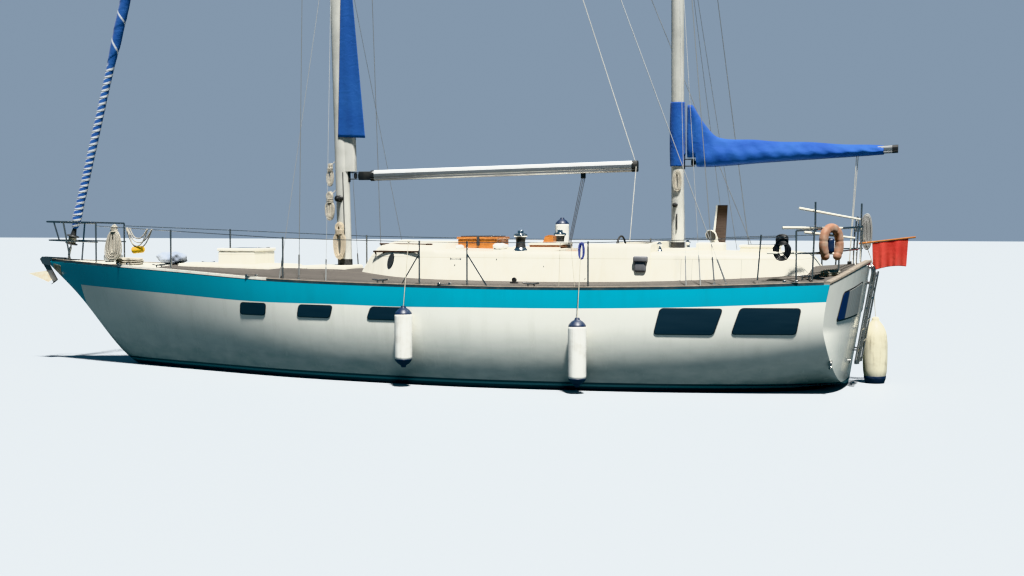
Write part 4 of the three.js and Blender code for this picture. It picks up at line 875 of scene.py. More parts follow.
bare_teak = wood("bare teak", (0.27, 0.235, 0.195), (0.12, 0.10, 0.082))
rail_ends = (-6.83, 5.325)
rail_x = np.linspace(*rail_ends, 200)
upstand = [(-0.002, -0.001), (-0.002, 0.031), (-0.036, 0.031), (-0.036, -0.004)]
cap_angle = round_angles(16)
cap_section = np.column_stack([-0.019 + 0.019 * np.sign(np.cos(cap_angle))
                               * np.abs(np.cos(cap_angle)) ** 0.4,
                               0.0385 + 0.0075 * boxy(np.sin(cap_angle), 0.6)])

paint_section = [(0.0008, 0.013), (0.0008, 0.0475), (-0.0395, 0.0475), (-0.0395, 0.013)]
rail_white = weathered("rail white", (0.72, 0.70, 0.64), dirt=(0.35, 0.31, 0.25), patches=0.4, scale=4.0,
                       rough=0.5)


def along_edge(section, x, side):
    """A section of (outward, upward) offsets carried along the sheer on one side."""
    section = np.asarray(section)
    y = np.maximum(half_breadth(x)[:, None] + section[None, :, 0], 0.001)
    z = sheer(x)[:, None] + section[None, :, 1]
    return capped(on_grid(x[:, None], side * y, z))


for side, label in ((-1, "port"), (1, "starboard")):
    make(f"toe_rail_upstand_{label}", [along_edge(upstand, rail_x, side)], slate,
         replaces=(f"toe_rail_{label}",), slot="rail_teak")
    make(f"toe_rail_cap_{label}", [along_edge(cap_section, rail_x, side)], bare_teak, slot="rail_teak")
    make(f"toe_rail_paint_{label}", [along_edge(paint_section, np.linspace(-5.25, teak_from, 90), side)],
         rail_white)

stern_y = np.linspace(-1.452, 1.452, 90)
stern_cap = [(-0.074, -0.004), (-0.074, 0.030), (-0.068, 0.038), (-0.058, 0.041), (-0.008, 0.041),
             (0.002, 0.037), (0.006, 0.030), (0.006, 0.012), (-0.001, 0.004), (-0.001, -0.010)]
stern_x = at_transom(lambda x: (stern_y, deck_z(x, stern_y)), np.full(stern_y.shape, stern_guess))
stern_z = deck_z(stern_x, stern_y)
cap_offsets = np.asarray(stern_cap)
cap_grid = on_grid(stern_x[:, None] + cap_offsets[None, :, 0], stern_y[:, None],
                   stern_z[:, None] + cap_offsets[None, :, 1])
make("taffrail_cap", [capped(cap_grid)], bare_teak, replaces=("taffrail",), slot="rail_teak")

# The low trunk on the foredeck, the pad that the mainmast stands on, and the coaming of the forehatch,
# moulded in one with the deck and painted cream-white.
trunk_paint, trunk_shader, place = finish_of("trunk paint", Coat_Weight=0.15, Coat_Roughness=0.2)
where = place("TexCoord")
at = place("SeparateXYZ", {0: where.outputs["Object"]})
base = place("Group", {"Colour": (0.79, 0.765, 0.68), "Dirt": (0.44, 0.40, 0.31), "Patches": 0.22,
                       "Streaks": 0.30, "Scale": 1.6}, node_tree=weather)
groove_low = spread(place, at.outputs["Z"], 1.6995, 1.7005)
groove_top = spread(place, at.outputs["Z"], 1.7065, 1.7055)
groove = calc(place, "MULTIPLY", groove_low, groove_top)
grooved = dye(place, groove, base.outputs["Colour"], (0.30, 0.28, 0.23))
feed(trunk_shader, Base_Color=grooved)
dull = spread(place, base.outputs["Mask"], 0.0, 1.0, 0.36, 0.62)
feed(trunk_shader, Roughness=dull)
relief = place("Bump", {"Height": base.outputs["Height"], "Strength": 0.2, "Distance": 0.0005})
feed(trunk_shader, Normal=relief)


def rounded_box(low, high, radius, steps=5):
    """A box with rounded edges: a ball's grid of latitudes and longitudes, whose eight parts are moved
    apart by the box's half size less the radius."""
    low, high = np.asarray(low, float), np.asarray(high, float)
    middle, half = (low + high) / 2, (high - low) / 2
    radius = min(radius, *(half * 0.999))
    quarter = np.linspace(0, math.pi / 2, steps)
    longitude = np.concatenate([quarter + k * math.pi / 2 for k in range(4)])
    sign_x = np.repeat([1, -1, -1, 1], steps)
    sign_y = np.repeat([1, 1, -1, -1], steps)
    latitude = np.concatenate([quarter - math.pi / 2, quarter])
    sign_z = np.repeat([-1, 1], steps)
    out, up = radius * np.cos(latitude)[:, None], radius * np.sin(latitude)[:, None]
    x = middle[0] + sign_x[None] * (half[0] - radius) + out * np.cos(longitude)[None]
    y = middle[1] + sign_y[None] * (half[1] - radius) + out * np.sin(longitude)[None]
    z = middle[2] + sign_z[:, None] * (half[2] - radius) + up
    return capped(on_grid(x, y, z))


def box_of(node):
    """The two corners of a node of the frame."""
    return tuple(np.array(corner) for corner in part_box(node))


low_trunk = np.array([[-4.44, 0.300, 0.014], [-4.38, 0.340, 0.030], [-3.60, 0.470, 0.038],
                      [-2.78, 0.560, 0.038], [-2.66, 0.260, 0.016], [-2.20, 0.260, 0.016]])
x = np.unique(np.concatenate([np.linspace(-4.44, -4.38, 5), np.linspace(-4.38, -2.78, 40),
                              np.linspace(-2.78, -2.66, 6), np.linspace(-2.66, -2.20, 6)]))
half = np.interp(x, low_trunk[:, 0], low_trunk[:, 1])
tall = np.interp(x, low_trunk[:, 0], low_trunk[:, 2])


def roof_z(x, y, tall):
    return deck_z(x, y) + deck_rise + tall


share = np.linspace(0, 1, 8)
start_y, start_z = half, roof_z(x, half, tall) - 0.030
end_y = half - 0.040
end_z = roof_z(x, end_y, tall) + 0.004
corner_z = roof_z(x, half, tall) - 0.002
arc_y = drawn_curve(share, start_y[:, None], half[:, None], end_y[:, None])
arc_z = drawn_curve(share, start_z[:, None], corner_z[:, None], end_z[:, None])
roof_share = np.linspace(1, 0, 10)[1:]
top_y = end_y[:, None] * roof_share
top_z = roof_z(x[:, None], top_y, tall[:, None]) + 0.010 - 0.006 * (top_y / half[:, None]) ** 2
half_y = np.concatenate([(half + 0.004)[:, None], arc_y, top_y], axis=1)
half_z = np.concatenate([(deck_z(x, half) - 0.02)[:, None], arc_z, top_z], axis=1)
ring_y, ring_z = both_sides(half_y, half_z)
low_trunk_grid = on_grid(x[:, None], ring_y, ring_z)
fore_coaming = rounded_box((-3.74, -0.33, 1.30), (-3.13, 0.33, 1.750), 0.02)
mast_pad = rounded_box((-2.30, -0.33, 1.20), (-1.66, 0.33, 1.5497), 0.03)
foredeck = make("foredeck_moulding", [capped(low_trunk_grid)], trunk_paint, replaces=("foredeck_trunk",),
                slot="gelcoat")
carve(foredeck, block("forehatch", *hatch_well))
hatch_coaming = make("forehatch_coaming", [fore_coaming], trunk_paint, slot="gelcoat")
carve(hatch_coaming, block("forehatch", *hatch_well))
make("mast_pad", [mast_pad], trunk_paint, slot="gelcoat")

# The cabin trunks: a long moulded coachroof with rounded shoulders and a cambered top, the raised
# coaming round the cockpit, and the aft cabin, all painted the same cream-white.
# Lines: x, half-width at the foot, at the top edge, height of that edge, crown above it.
trunk_lines = np.array([
    [-1.31, 0.600, 0.560, 1.430, 0.010],
    [-1.29, 0.620, 0.580, 1.500, 0.020],
    [-1.00, 0.800, 0.720, 1.815, 0.080],
    [-0.70, 0.960, 0.880, 1.822, 0.088],
    [-0.30, 1.080, 1.005, 1.822, 0.092],
    [-0.02, 1.125, 1.055, 1.818, 0.092],
    [0.03, 1.135, 1.065, 1.790, 0.034],
    [1.20, 1.195, 1.125, 1.786, 0.032],
    [3.00, 1.200, 1.130, 1.786, 0.032],
    [3.20, 1.195, 1.125, 1.784, 0.032],
    [4.40, 1.110, 1.040, 1.754, 0.030],
    [4.90, 1.060, 0.990, 1.744, 0.030],
    [5.10, 1.040, 0.980, 1.480, 0.060],
])
trunk_stations = np.array([-1.31, -1.29, -1.14, -1.0, -0.85, -0.7, -0.5, -0.3, -0.02, 0.03, 0.6, 1.2, 1.9,
                           2.6, 3.05, 3.2, 3.8, 4.4, 4.7, 4.9, 4.98, 5.1])


def trunk_line(x, column):
    """One of the lines above, straight between the frames on which the moulding was set up."""
    return np.interp(x, trunk_stations, fair(trunk_lines, trunk_stations, column))


def roof_at(x, y, lift=0.0):
    """Height of the cabin top: the top edge plus a crown that falls to nothing at the edge."""
    return trunk_line(x, 3) + lift + trunk_line(x, 4) * (1 - (y / trunk_line(x, 2)) ** 2)


wall_foot, shoulder_drop = 1.39, 0.06


def trunk_grid(x, lift=0.0):
    """Closed rings across the boat: the straight side, a rounded shoulder, the cambered top and back."""
    x = x[:, None]
    lift = np.broadcast_to(lift, x.shape[:1])[:, None]
    foot, edge = trunk_line(x, 1), trunk_line(x, 2)
    top = trunk_line(x, 3) + lift
    up = np.linspace(0, 1, 6)[None]
    side_y = np.concatenate([foot + 0.02, foot + (edge + 0.008 - foot) * up], axis=1)
    side_z = np.concatenate([foot * 0 + 1.15, wall_foot + (top - shoulder_drop - wall_foot) * up], axis=1)
    b = np.linspace(0, 1, 8)[None, 1:]
    in_y = edge - 0.055
    in_z = roof_at(x, in_y, lift)
    arc_y = drawn_curve(b, edge + 0.008, edge + 0.004, in_y)
    arc_z = drawn_curve(b, top - shoulder_drop, top + 0.002, in_z)
    roof_y = in_y * np.linspace(1, 0, 13)[None, 1:]
    y = np.concatenate([side_y, arc_y, roof_y], axis=1)
    z = np.concatenate([side_z, arc_z, roof_at(x, roof_y, lift)], axis=1)
    y, z = both_sides(y, z)
    return on_grid(x, y, z)


coach_x = np.unique(np.concatenate([np.linspace(-1.31, -0.70, 30), np.linspace(-0.70, 1.60, 50),
                                    [-0.02, 0.03]]))
runners = [rounded_box((0.70, s * 0.32 - 0.02, 1.70), (1.59, s * 0.32 + 0.02, 1.832), 0.008)
           for s in (-1, 1)]
coachroof = make("coachroof_moulding", [capped(trunk_grid(coach_x))], trunk_paint, replaces=("coachroof",),
                 slot="gelcoat")
carve(coachroof, block("companion", (1.17, 1.54), (-0.28, 0.28), (1.45, 2.4)),
      block("skylight", (0.10, 0.60), (-0.24, 0.24), (1.60, 2.4)))
make("hatch_runners", runners, trunk_paint, slot="gelcoat")

coaming_x = np.linspace(1.6003, 3.05, 60)
rise_share = np.clip((coaming_x - 2.04) / 0.10, 0, 1)
coaming_lift = 0.105 * rise_share ** 2 * (3 - 2 * rise_share)
coaming = make("cockpit_moulding", [capped(trunk_grid(coaming_x, coaming_lift))], trunk_paint,
               replaces=("cockpit",), slot="gelcoat")
carve(coaming, block("cockpit", (1.66, 2.98), (-0.98, 0.98), (1.45, 2.6)),
      block("footwell", well_x, (-well_half, well_half), (well_sole, 2.6)))

aft_x = np.concatenate([np.linspace(3.0503, 4.80, 40)[:-1], np.linspace(4.80, 5.10, 24)])
mizzen_pad = rounded_box((3.0503, -0.42, 1.70), (3.42, 0.42, 1.8297), 0.02)
aft_coaming = rounded_box((4.08, -0.27, 1.70), (4.56, 0.27, 1.845), 0.015)
aft_well = ((4.12, 4.52), (-0.23, 0.23), (1.50, 2.4))
aft_cabin = make("aft_cabin_moulding", [capped(trunk_grid(aft_x))], trunk_paint, replaces=("aft_cabin",),
                 slot="gelcoat")
carve(aft_cabin, block("aft_hatch", *aft_well))
hatch_coaming = make("aft_hatch_coaming", [aft_coaming], trunk_paint, slot="gelcoat")
carve(hatch_coaming, block("aft_hatch", *aft_well))
make("mizzen_pad", [mizzen_pad], trunk_paint, slot="gelcoat")

# The hatches: lids of moulded plastic with smoked panes, a varnished wooden skylight with barred panes,
# and a brown slide over the companionway, edged in white.
hatch_white = weathered("hatch white", (0.80, 0.78, 0.71), dirt=(0.42, 0.38, 0.30), patches=0.3, streaks=0.2,
                        scale=4.0, rough=0.38)
smoked = mottled("smoked pane", (0.02, 0.022, 0.026), (0.07, 0.07, 0.068), 11.0, 5.0, Roughness=0.1,
                 Coat_Weight=0.5)[0]
varnished = wood("varnished wood", (0.50, 0.20, 0.055), (0.20, 0.065, 0.018), fineness=1.6, rough=0.3,
                 Coat_Weight=0.5, Coat_Roughness=0.12)
brown_wood = wood("brown hatch wood", (0.20, 0.085, 0.04), (0.08, 0.033, 0.018), fineness=1.4, rough=0.45)
stainless = weathered("stainless steel", (0.40, 0.40, 0.395), dirt=(0.20, 0.16, 0.12), patches=0.35,
                      streaks=0.1, scale=5.0, rough=0.22, wear_rough=0.35, bump=0.0002, metallic=1.0)


def lid_with_pane(name, node, body, slot, rim, finish, glass):
    """A lid as big as its node, and a pane let into its top within a rim."""
    low, high = box_of(node)
    make(name, [rounded_box(low, high, 0.011)], finish, body, replaces=(node,), slot=slot)
    inner_low = np.array([low[0] + rim, low[1] + rim, high[2] - 0.006])
    inner_high = np.array([high[0] - rim, high[1] - rim, high[2] + 0.0025])
    make(name + "_pane", [rounded_box(inner_low, inner_high, 0.003)], glass, body)
    return low, high


lid_low, lid_high = lid_with_pane("forehatch_cover", "forehatch_lid", "forehatch", "gelcoat", 0.075,
                                  hatch_white, smoked)
handles = [rounded_box((lid_high[0] - 0.055, s * 0.16 - 0.045, lid_high[2] - 0.004),
                       (lid_high[0] - 0.025, s * 0.16 + 0.045, lid_high[2] + 0.012), 0.006) for s in (-1, 1)]
make("forehatch_dogs", handles, stainless, "forehatch")
lid_low, lid_high = lid_with_pane("aft_hatch_cover", "aft_hatch_lid", "aft_hatch", "gelcoat", 0.06,
                                  hatch_white, smoked)
handles = [rounded_box((lid_high[0] - 0.05, s * 0.13 - 0.04, lid_high[2] - 0.004),
                       (lid_high[0] - 0.022, s * 0.13 + 0.04, lid_high[2] + 0.012), 0.006) for s in (-1, 1)]
make("aft_hatch_dogs", handles, stainless, "aft_hatch")

skylight_box = make("skylight_box", [rounded_box((0.06, -0.28, 1.70), (0.64, 0.28, 1.9397), 0.012)],
                    varnished, replaces=("skylight_frame",), slot="mahogany")
carve(skylight_box, block("skylight", (0.10, 0.60), (-0.24, 0.24), (1.60, 2.4)))
lid_low, lid_high = box_of("skylight_lid")
lid_top = lid_high[2]
make("skylight_cover", [rounded_box(lid_low, lid_high, 0.010)], varnished, "skylight",
     replaces=("skylight_lid",), slot="mahogany")
panes = []
bars = []
for s in (-1, 1):
    panes.append(rounded_box((0.095, s * 0.14 - 0.100, lid_top - 0.006),
                             (0.605, s * 0.14 + 0.100, lid_top + 0.002), 0.002))
    for k in range(6):
        bar_x = 0.14 + k * 0.084
        bars.append(rounded_box((bar_x - 0.004, s * 0.14 - 0.110, lid_top + 0.006),
                                (bar_x + 0.004, s * 0.14 + 0.110, lid_top + 0.014), 0.003))
    for rail_end in (-0.113, 0.113):
        bars.append(rounded_box((0.10, s * 0.14 + rail_end - 0.006, lid_top - 0.002),
                                (0.60, s * 0.14 + rail_end + 0.006, lid_top + 0.014), 0.003))
make("skylight_panes", panes, smoked, "skylight")
make("skylight_bars", bars, stainless, "skylight")
strap_x = 0.37
strap = rounded_box((strap_x - 0.02, -0.302, lid_top - 0.12), (strap_x + 0.02, 0.302, lid_top + 0.017),
                    0.004)
webbing = mottled("dark webbing", (0.015, 0.017, 0.02), (0.05, 0.053, 0.06), 220.0, 2.0, Roughness=0.9)[0]
make("skylight_strap", [strap], webbing, "skylight")

slide_low, slide_high = box_of("companionway_hatch")
slab_low = np.array([slide_low[0], slide_low[1], slide_high[2] - 0.036])
frame_low = slide_low + (0.022, 0.006, 0)
frame_high = np.append(slide_high[:2] - (0.006, 0.006), slab_low[2] + 0.004)
make("companion_slide", [rounded_box(slab_low, slide_high, 0.012)], hatch_white, "companionway",
     replaces=("companionway_hatch",), slot="gelcoat")
make("companion_slide_frame", [rounded_box(frame_low, frame_high, 0.006)], brown_wood, "companionway",
     slot="hatch_brown")
boards = [rounded_box((1.6605, -0.27, 1.46 + k * 0.160), (1.684, 0.27, 1.615 + k * 0.160), 0.004)
          for k in range(2)]
make("companion_boards", boards, varnished, slot="mahogany")

# The cockpit's teak, bare and grey: planked seats along both sides, screwed down on the moulding, and a
# loose grating of crossed slats on the sole.
seat_finish, seat_shader, place = finish_of("seat teak", Roughness=0.8)
where = place("TexCoord")
at = place("SeparateXYZ", {0: where.outputs["Object"]})
seat_planks = place("Group", {"Colour": (0.26, 0.215, 0.17), "Across": at.outputs["Y"],
                              "Along": at.outputs["X"], "Width": 0.055}, node_tree=planks)
feed(seat_shader, Base_Color=seat_planks.outputs["Colour"])
seat_bump = place("Bump", {"Height": seat_planks.outputs["Height"], "Strength": 0.5, "Distance": 0.002})
feed(seat_shader, Normal=seat_bump)
seats = [rounded_box((1.70, min(s * 0.425, s * 0.955), 1.4495), (2.94, max(s * 0.425, s * 0.955), 1.468),
                     0.005) for s in (-1, 1)]
make("cockpit_seats", seats, seat_finish, slot="deck_teak")
slats = [rounded_box((1.75, -0.36 + k * 0.06, 0.8502), (2.09, -0.36 + k * 0.06 + 0.032, 0.874), 0.004)
         for k in range(12)]
slats += [rounded_box((1.752 + k * 0.075, -0.36, 0.8504), (1.752 + k * 0.075 + 0.026, 0.332, 0.872),
                      0.004) for k in range(5)]
make("sole_grating", slats, bare_teak, slot="deck_teak")

# The masts: painted alloy extrusions, off-white and grimy, with the mainmast's mainsail wound inside the
# housing behind it, spreaders, a masthead box, cleats and winches.
mast_paint = weathered("mast paint", (0.44, 0.44, 0.415), dirt=(0.22, 0.22, 0.20), patches=0.55,
                       streaks=0.45, scale=1.3, rough=0.36, bump=0.0006)
black_plastic = weathered("black plastic", (0.018, 0.019, 0.021), dirt=(0.09, 0.085, 0.075), patches=0.4,
                          streaks=0.1, scale=5.0, rough=0.5)
main_lean, main_x, main_foot, main_top = 0.028, -1.811, 1.55, 17.0
mizzen_lean, mizzen_x, mizzen_foot, mizzen_top = 0.005, 3.18, 1.83, 11.6


def main_at(z):
    return main_x - main_lean * (np.asarray(z) - main_foot)


def mizzen_at(z):
    return mizzen_x - mizzen_lean * (np.asarray(z) - mizzen_foot)


def mast_grid(centre, z, half_x, half_y, sides=40):
    """Ovals at the given heights, centred on the mast's line."""
    angle = round_angles(sides)
    x = centre(z)[:, None] + half_x * np.cos(angle)[None]
    y = np.broadcast_to(half_y * np.sin(angle)[None], x.shape)
    return on_grid(x, y, z[:, None])


def strip(corners, centre, z):
    """An upright extrusion: an outline of (aft of the mast's line, y) at each height."""
    corners = np.asarray(corners)
    x = centre(z)[:, None] + corners[None, :, 0]
    y = np.broadcast_to(corners[None, :, 1], x.shape)
    return capped(on_grid(x, y, z[:, None]))


def arm(start, end, wide, flat, end_wide, end_flat, sides=20):
    """A spreader: an oval that tapers from its root to its tip, wider fore and aft than it is deep."""
    share = np.linspace(0, 1, 10)[:, None]
    centre = np.asarray(start) + share * (np.asarray(end) - np.asarray(start))
    angle = round_angles(sides)
    reach_x = (wide + (end_wide - wide) * share) * np.cos(angle)[None]
    reach_z = (flat + (end_flat - flat) * share) * np.sin(angle)[None]
    grid = centre[:, None] + on_grid(reach_x, 0, reach_z)
    return capped(grid)


main_z = np.linspace(main_foot, main_top, 30)
mast_shells = [capped(mast_grid(main_at, main_z, 0.108, 0.076))]
housing_outline = [(0.048, 0.058), (0.190, 0.058), (0.206, 0.050), (0.216, 0.036), (0.220, 0.020),
                   (0.220, 0.009), (0.206, 0.006), (0.206, -0.006), (0.220, -0.009), (0.220, -0.020),
                   (0.216, -0.036), (0.206, -0.050), (0.190, -0.058), (0.048, -0.058)]
mast_shells.append(strip(housing_outline, main_at, np.linspace(2.93, 16.4, 24)))
for height, out, sweep, rise in ((6.90, 1.15, 0.06, 0.06), (12.0, 0.85, 0.05, 0.06)):
    for s in (-1, 1):
        root = (main_at(height) + 0.005, s * 0.02, height)
        tip = (main_at(height) + sweep, s * out, height + rise)
        mast_shells.append(arm(root, tip, 0.046, 0.020, 0.026, 0.013))
top_x = main_at(main_top)
mast_shells.append(rounded_box((top_x - 0.168, -0.028, 16.94), (top_x + 0.168, 0.028, 17.03), 0.01))
make("mainmast_extrusion", mast_shells, mast_paint, replaces=("mainmast",), slot="mast_paint")
mizzen_shells = [capped(mast_grid(mizzen_at, np.linspace(mizzen_foot, mizzen_top, 24), 0.088, 0.070))]
for s in (-1, 1):
    root = (mizzen_at(7.0) + 0.005, s * 0.02, 7.0)
    tip = (mizzen_at(7.0) + 0.19, s * 0.76, 7.05)
    mizzen_shells.append(arm(root, tip, 0.042, 0.020, 0.024, 0.013))
top_x = mizzen_at(mizzen_top)
mizzen_shells.append(rounded_box((top_x - 0.148, -0.028, 11.54), (top_x + 0.148, 0.028, 11.63), 0.01))
make("mizzen_extrusion", mizzen_shells, mast_paint, replaces=("mizzen_mast",), slot="mast_paint")

# Goosenecks: dark castings bolted to the masts' after faces, each with two forks and an upright pin for
# its boom; dark collars at the masts' feet keep the water out.


def lathe(profile, foot, axis=(0, 0, 1), sides=32):
    """A turned shape: rows of (radius, distance along the axis from the foot), swung round the axis."""
    axis = np.asarray(axis, float) / np.linalg.norm(axis)
    fixed = np.eye(3)[np.argmin(np.abs(axis))]
    one = np.cross(axis, fixed)
    one /= np.linalg.norm(one)
    two = np.cross(axis, one)
    angle = round_angles(sides)
    profile = np.asarray(profile, float)
    spoke = np.cos(angle)[:, None] * one + np.sin(angle)[:, None] * two
    centres, reach = profile[:, 1, None, None] * axis, profile[:, 0, None, None]
    return capped(np.asarray(foot, float) + centres + reach * spoke[None])


def soft_profile(rows, steps=4, share=0.25):
    """A profile whose inner corners are rounded: each gives a curve between points on its two edges."""
    rows = np.asarray(rows, float)
    out = [rows[:1]]
    for before, here, after in zip(rows[:-2], rows[1:-1], rows[2:]):
        back = min(share, 0.45) * min(np.linalg.norm(before - here), np.linalg.norm(after - here))
        start = here + (before - here) * back / max(np.linalg.norm(before - here), 1e-9)
        end = here + (after - here) * back / max(np.linalg.norm(after - here), 1e-9)
        t = np.linspace(0, 1, steps)[:, None]
        out.append(drawn_curve(t, start, here, end))
    out.append(rows[-1:])
    return np.concatenate(out)


def gooseneck(face, pin):
    """A plate on the mast's after face, two forks and an upright pin through them."""
    pin_x, z = pin
    reach = pin_x + 0.026
    shells = [rounded_box((face - 0.04, -0.030, z - 0.09), (face + 0.010, 0.030, z + 0.09), 0.006)]
    for s in (-1, 1):
        middle = z + s * 0.047
        shells.append(rounded_box((face - 0.04, -0.026, middle - 0.007), (reach, 0.026, middle + 0.007),
                                  0.004))
    shells.append(lathe([(0, 0), (0.012, 0), (0.012, 0.108), (0, 0.108)], (pin_x, 0, z - 0.054), sides=20))
    return shells


main_face, mizzen_face = main_at(2.865) + 0.108, mizzen_at(3.0) + 0.088
main_pin, mizzen_pin = (-1.640, 2.865), (3.385, 3.0)  # x and height
neck_shells = gooseneck(main_face, main_pin) + gooseneck(mizzen_face, mizzen_pin)
make("goosenecks", neck_shells, black_plastic)
boots = [capped(mast_grid(main_at, np.array([1.552, 1.625, 1.640]), 0.114, 0.082)),
         capped(mast_grid(mizzen_at, np.array([1.832, 1.895, 1.910]), 0.095, 0.077))]
make("mast_boots", boots, black_plastic)

# The booms: silver alloy extrusions with a groove low on each side, dark castings at their ends, and an
# eye of plastic on the gooseneck's pin. The main boom's top is pale.
boom_alloy = weathered("boom alloy", (0.40, 0.41, 0.42), dirt=(0.15, 0.15, 0.14), patches=0.45, streaks=0.1,
                       scale=2.2, rough=0.30, wear_rough=0.3, metallic=0.85)
boom_corner = 0.62  # at 1 the section is an oval, and the less it is, the squarer are the corners


def boom_shape(fore, aft, fore_z, aft_z, tall, wide, sides=48):
    """A round-cornered extrusion between two ends; a groove runs along each side below its middle."""
    angle = round_angles(sides)
    side_share, up_share = boxy(np.cos(angle), boom_corner), boxy(np.sin(angle), boom_corner)
    low_groove = 0.16 * np.exp(-((up_share + 0.42) / 0.07) ** 2)
    high_groove = 0.10 * np.exp(-((up_share - 0.62) / 0.05) ** 2)
    x = np.linspace(fore, aft, 12)
    z = fore_z + (aft_z - fore_z) * (x - fore) / (aft - fore)
    y = wide * side_share * (1 - low_groove - high_groove)
    grid = on_grid(x[:, None], y[None], z[:, None] + tall * up_share[None])
    return capped(grid)


boom_shells = [boom_shape(-1.38, 2.61, 2.865, 2.960, 0.076, 0.052),
               rounded_box((-1.600, -0.018, 2.831), (-1.36, 0.018, 2.899), 0.008)]
top_angle = np.linspace(0.17, math.pi - 0.17, 30)
top_x = np.linspace(-1.36, 2.55, 12)
top_y = 0.0528 * boxy(np.cos(top_angle), boom_corner)
top_z = 0.0768 * np.sin(top_angle) ** boom_corner
boom_top = on_grid(top_x[:, None], top_y[None],
                   (2.865 + 0.095 * (top_x[:, None] + 1.38) / 3.99) + top_z[None])
boom_pale = weathered("boom top", (0.74, 0.75, 0.76), dirt=(0.30, 0.29, 0.27), patches=0.3, scale=3.0,
                      rough=0.45, metallic=0.2)
make("main_boom_top", [capped(boom_top)], boom_pale, "main_boom", crease_deg=50)
make("main_boom_extrusion", boom_shells, boom_alloy, "main_boom", replaces=("main_boom",), slot="boom_alloy",
     crease_deg=50)
eye_profile = [(0.0128, -0.034), (0.0255, -0.034), (0.0255, 0.034), (0.0128, 0.034)]


def ring_of(profile, foot, sides=28):
    """A turned ring with a hole: its profile closes on itself."""
    angle = np.linspace(0, 2 * math.pi, sides + 1)
    profile = np.asarray(profile + profile[:1], float)
    grid = on_grid(foot[0] + profile[None, :, 0] * np.cos(angle)[:, None],
                   foot[1] + profile[None, :, 0] * np.sin(angle)[:, None], foot[2] + profile[None, :, 1])
    return skin(grid)


boom_caps = [boom_shape(2.535, 2.612, 2.9582, 2.9602, 0.0785, 0.0545),
             boom_shape(-1.385, -1.33, 2.8649, 2.8662, 0.0785, 0.0545),
             ring_of(eye_profile, (main_pin[0], 0, main_pin[1])),
             rounded_box((-1.585, -0.034, 2.802), (-1.372, 0.034, 2.928), 0.012),
             rounded_box((1.795, -0.014, 2.795), (1.865, 0.014, 2.872), 0.010)]
make("main_boom_fittings", boom_caps, black_plastic, "main_boom", slot="boom_alloy")
mizzen_shells = [boom_shape(3.485, 6.11, 3.0, 3.15, 0.052, 0.040),
                 rounded_box((3.423, -0.016, 2.968), (3.50, 0.016, 3.032), 0.008)]
make("mizzen_boom_extrusion", mizzen_shells, boom_alloy, "mizzen_boom", replaces=("mizzen_boom",),
     slot="boom_alloy", crease_deg=50)
mizzen_caps = [boom_shape(6.04, 6.112, 3.146, 3.1502, 0.054, 0.042),
               ring_of(eye_profile, (mizzen_pin[0], 0, mizzen_pin[1])),
               rounded_box((3.40, -0.013, 2.972), (3.44, 0.013, 3.028), 0.006)]
make("mizzen_boom_fittings", mizzen_caps, black_plastic, "mizzen_boom", slot="boom_alloy")

# Sailcloth and canvas: the royal-blue cover over the sail stowed on the mizzen boom, its collar laced
# round the mast, the blue corner of the mainsail out of its slot, and the rolled headsail.
cloth, cloth_in, place = new_group(
    "woven cloth",
    [("Colour", "c", (0.03, 0.12, 0.45)), ("Faded", "c", (0.1, 0.22, 0.5)), ("Threads", "f", 420.0),
     ("Fading", "f", 0.5)],
    [("Colour", "c"), ("Weave", "f"), ("Creases", "f")])
uv = place("UVMap")
parts = place("SeparateXYZ", {0: uv})
warp_at = calc(place, "MULTIPLY", parts.outputs[0], cloth_in.outputs["Threads"])
weft_at = calc(place, "MULTIPLY", parts.outputs[1], cloth_in.outputs["Threads"])
warp = calc(place, "SINE", warp_at)
weft = calc(place, "SINE", weft_at)
weave = calc(place, "MULTIPLY", warp, weft)
where = place("TexCoord")
bleach = place("TexNoise", {"Vector": where.outputs["Object"], "Scale": 2.6, "Detail": 6.0,
                            "Roughness": 0.6})
bleach_mask = spread(place, bleach, 0.38, 0.68)
share = calc(place, "MULTIPLY", bleach_mask, cloth_in.outputs["Fading"])
colour = dye(place, share, cloth_in.outputs["Colour"], cloth_in.outputs["Faded"])
crease_at = place("VectorMath", {0: where.outputs["Object"], 1: (5.0, 5.0, 9.0)}, operation="MULTIPLY")
crease = place("TexNoise", {"Vector": crease_at, "Scale": 1.3, "Detail": 5.0, "Distortion": 1.1})
feed(place("NodeGroupOutput"), Colour=colour, Weave=weave, Creases=crease)


def cloth_finish(name, colour, faded, fading=0.5, rough=0.85, creases=0.012):
    """Woven cloth: threads and creases in relief, and bleached patches."""
    material, shader, place = finish_of(name, Roughness=rough, Sheen_Weight=0.15)
    group = place("Group", {"Colour": colour, "Faded": faded, "Fading": fading}, node_tree=cloth)
    folds = place("Bump", {"Height": group.outputs["Creases"], "Strength": 0.55, "Distance": creases})
    threads = place("Bump", {"Height": group.outputs["Weave"], "Strength": 0.25, "Distance": 0.0008,
                             "Normal": folds})
    feed(shader, Normal=threads, Base_Color=group.outputs["Colour"])
    return material


cover_blue = cloth_finish("cover blue", (0.002, 0.046, 0.235), (0.018, 0.095, 0.31), fading=0.6)
cover_rows = np.array([
    [3.307, 2.962, 3.780, 0.044, 0.030],
    [3.335, 2.950, 3.782, 0.066, 0.042],
    [3.385, 2.944, 3.770, 0.078, 0.050],
    [3.520, 2.940, 3.560, 0.118, 0.042],
    [3.730, 2.945, 3.345, 0.140, 0.036],
    [4.300, 2.985, 3.290, 0.138, 0.034],
    [5.100, 3.030, 3.240, 0.118, 0.032],
    [5.700, 3.062, 3.205, 0.092, 0.028],
    [5.930, 3.078, 3.190, 0.070, 0.026],
])


